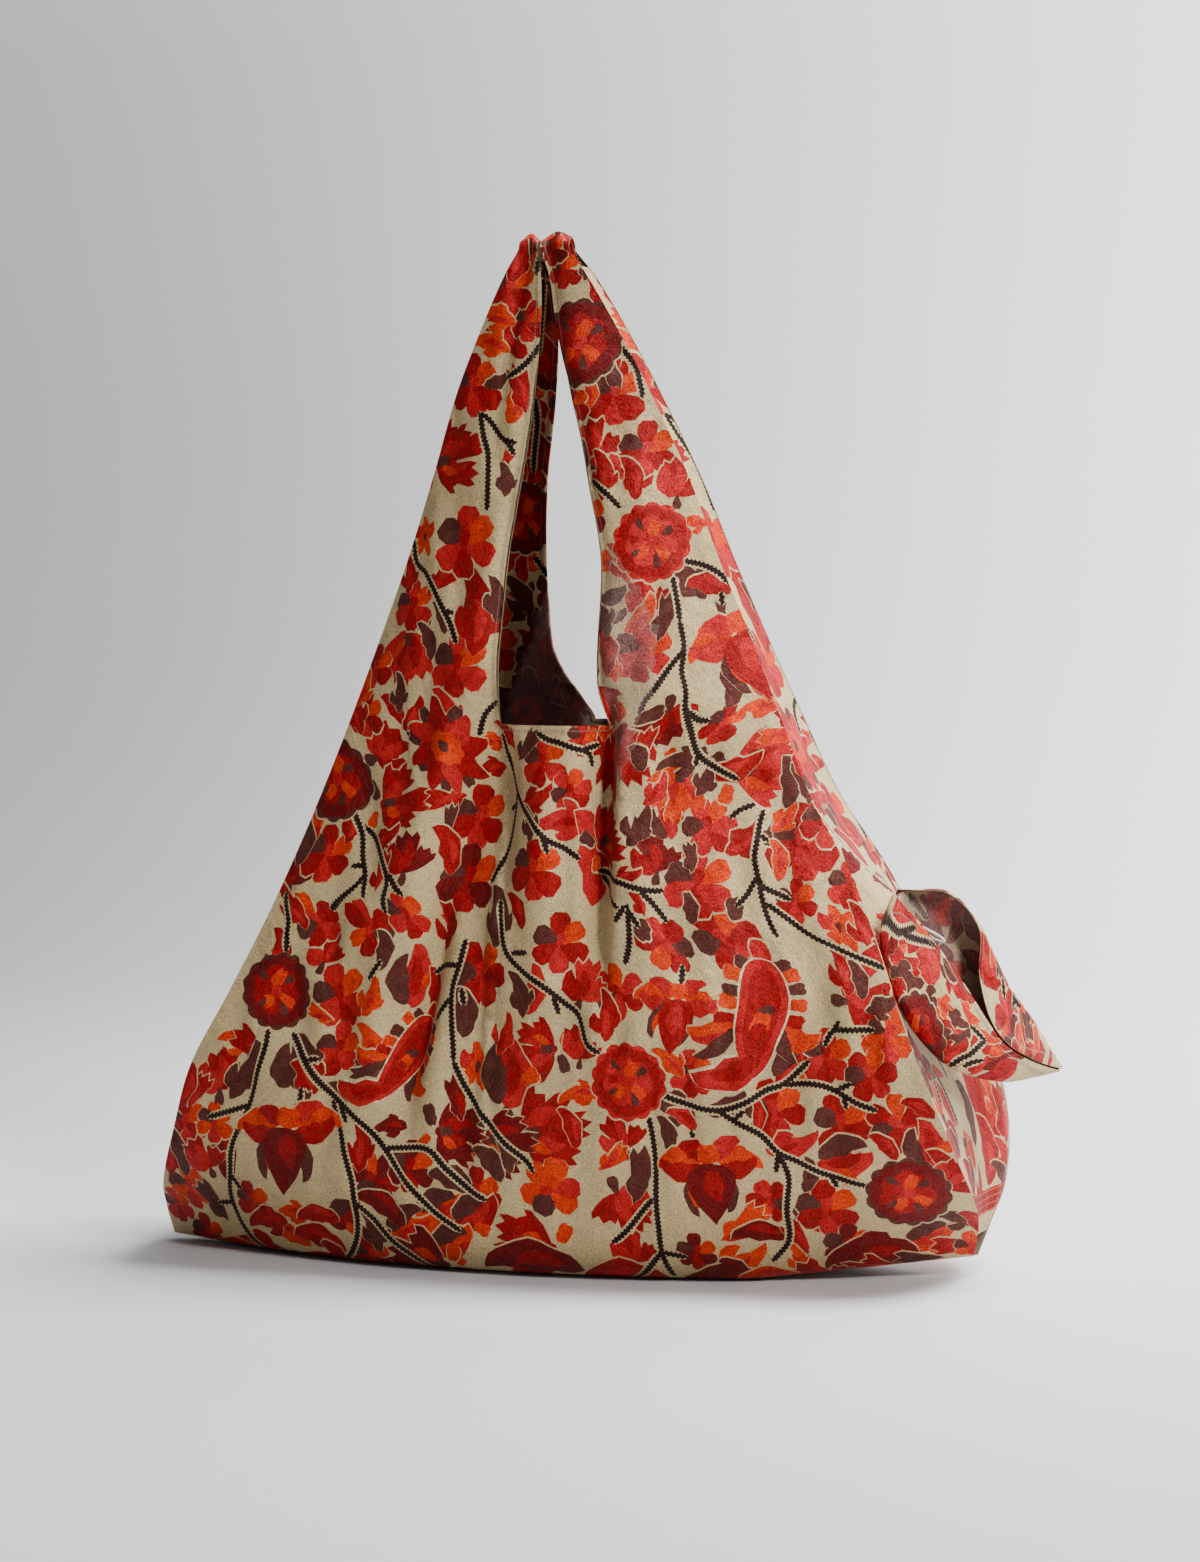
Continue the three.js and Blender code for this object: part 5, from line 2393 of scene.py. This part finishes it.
@dataclass(frozen=True)
class Lamp:
    """A soft light, with its place, aim and width in metres, its power in watts and its cone in degrees.

    A lamp without a cone is a square light that shines all over the room.
    """

    name: str
    where: tuple[float, ...]
    at: tuple[float, ...]
    size: float
    power: float
    colour: tuple[float, ...] = (1.0, 1.0, 1.0)
    cone: float = 0.0

    def build(self) -> None:
        """Makes the lamp."""
        data = bpy.data.lights.new(self.name, "SPOT" if self.cone else "AREA")
        data.energy = self.power
        data.color = self.colour
        if self.cone:
            data.spot_size = math.radians(self.cone)
            data.spot_blend = 1.0
            data.shadow_soft_size = self.size
        else:
            data.size = self.size
        aim(in_scene(self.name, data), Vector(self.where), Vector(self.at))


@dataclass(frozen=True)
class Studio:
    """A pale floor that rises to a wall, with painted shade towards its left, soft lights and the camera.

    The beam brightens the bag's middle and right and leaves its lower left darker. The eye and the point
    seen from it are in mm. The floor's sizes, room, bend and bend_from, are in metres.
    """

    lamps: tuple[Lamp, ...] = (
        Lamp("key", (2.1, -1.5, 2.0), (0.0, 0.0, 0.3), 0.8, 8.0, (1.0, 0.99, 0.98)),
        Lamp("top", (0.9, -0.5, 2.8), (0.1, -0.2, 0.1), 1.4, 6.0),
        Lamp("wall", (1.4, 0.7, 3.0), (0.6, 2.3, 0.9), 1.8, 380.0),
        Lamp("beam", (1.9, -1.7, 1.9), (0.16, 0.0, 0.34), 0.3, 430.0, cone=18.0),
    )
    eye: tuple[float, ...] = (569.4, -2125.0, 408.0)
    seen: tuple[float, ...] = (0.0, 0.0, 289.0)
    lens: float = 84.5
    shift: float = 10 / 1562
    room: float = 7.0
    bend: float = 1.1
    bend_from: float = 1.3

    def build(self) -> None:
        """Makes the stage, the lights and the camera."""
        self.backdrop()
        for lamp in self.lamps:
            lamp.build()
        self.world()
        self.camera()

    def world(self) -> None:
        """Makes the even light of the room, which grows from left to right."""
        world = bpy.data.worlds.new("studio")
        world.use_nodes = True
        tree = world.node_tree
        where = tree.nodes.new("ShaderNodeTexCoord")
        parts = tree.nodes.new("ShaderNodeSeparateXYZ")
        tree.links.new(where.outputs[0], parts.inputs[0])
        side = tree.nodes.new("ShaderNodeMapRange")
        tree.links.new(parts.outputs[0], side.inputs[0])
        for socket, value in zip(side.inputs[1:5], (-0.9, 0.9, 0.05, 0.36)):
            socket.default_value = value
        tree.links.new(side.outputs[0], tree.nodes["Background"].inputs[1])
        tree.nodes["Background"].inputs[0].default_value = (0.62, 0.63, 0.66, 1.0)
        bpy.context.scene.world = world

    def backdrop(self) -> None:
        """Makes the floor, which curves up into the wall, with painted shade that darkens it towards the
        left.
        """
        turn = np.linspace(0, math.pi / 2, 25)
        bend, far, room = self.bend, self.bend_from, self.room
        curve = [(far + bend * math.sin(a), bend - bend * math.cos(a)) for a in turn]
        profile = [(-room, 0.0), *curve, (far + bend, room)]
        rows = [(x, y, z) for y, z in profile for x in (-room, room)]
        faces = [(2 * i, 2 * i + 1, 2 * i + 3, 2 * i + 2) for i in range(len(profile) - 1)]
        mesh = bpy.data.meshes.new("floor")
        mesh.from_pydata(rows, [], faces)
        for polygon in mesh.polygons:
            polygon.use_smooth = True
        floor = in_scene("floor", mesh)
        n = Nodes("floor_paint")
        where = n.add("TexCoord").outputs[3]
        parts = n.add("SeparateXYZ", in_0=where)
        # Painted shade: the floor and wall darken towards the left as if the room's light fell off there,
        # then turn pale again higher up the wall and nearer the camera
        side = n.ramp(parts.outputs[0], -1.3, 0.7)
        colour = n.mix(side, (0.33, 0.318, 0.308, 1.0), (0.76, 0.765, 0.785, 1.0))
        level = n.ramp(parts.outputs[2], 0.15, 1.9)
        colour = n.mix(n.math("MULTIPLY", level, 0.55), colour, (0.74, 0.745, 0.765, 1.0))
        near = n.ramp(parts.outputs[1], 0.9, -0.6)
        colour = n.mix(n.math("MULTIPLY", near, 0.8), colour, (0.74, 0.74, 0.76, 1.0))
        cloud = n.noise(where, 2.2, 3.0)
        colour = n.mix(n.ramp(cloud, 0.3, 0.7, 0.0, 0.06), colour, (0.5, 0.5, 0.5, 1.0))
        mesh.materials.append(n.finish(base_color=colour, roughness=0.7, specular_ior_level=0.2))

    def camera(self) -> None:
        """Makes the camera at the photo's place."""
        data = bpy.data.cameras.new("camera")
        data.lens = self.lens
        data.shift_x = self.shift
        data.clip_end = 50.0
        camera = in_scene("camera", data)
        middle = Vector((MIDDLE_X, MIDDLE_Y, 0))
        aim(camera, (Vector(self.eye) - middle) * MM, (Vector(self.seen) - middle) * MM)
        bpy.context.scene.camera = camera


def main() -> None:
    """Builds every piece in order."""
    logging.basicConfig(level=logging.INFO)
    bag = Bag()
    rows = (
        (lambda: bag.panel(True), "front_panel", (0.53, 0.70), 0.201, "hung"),
        (lambda: bag.panel(False), "back_panel", (0.53, 0.70), 0.197, "hung"),
        (lambda: bag.strip(False), "gusset_left", (0.167, 0.585), 0.050, "hung"),
        (lambda: bag.strip(True), "gusset_right", (0.167, 0.585), 0.0495, "hung"),
        (bag.pouch, "stow_pouch", (0.18, 0.141), 0.0193, "hung"),
    )
    for make, node, flat, area, held in rows:
        obj = make()
        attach(obj, "root")
        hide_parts(node)
    loop = Cord().build()
    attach(loop, "root")
    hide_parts("pouch_loop")
    Studio().build()


if __name__ == "__main__":
    main()
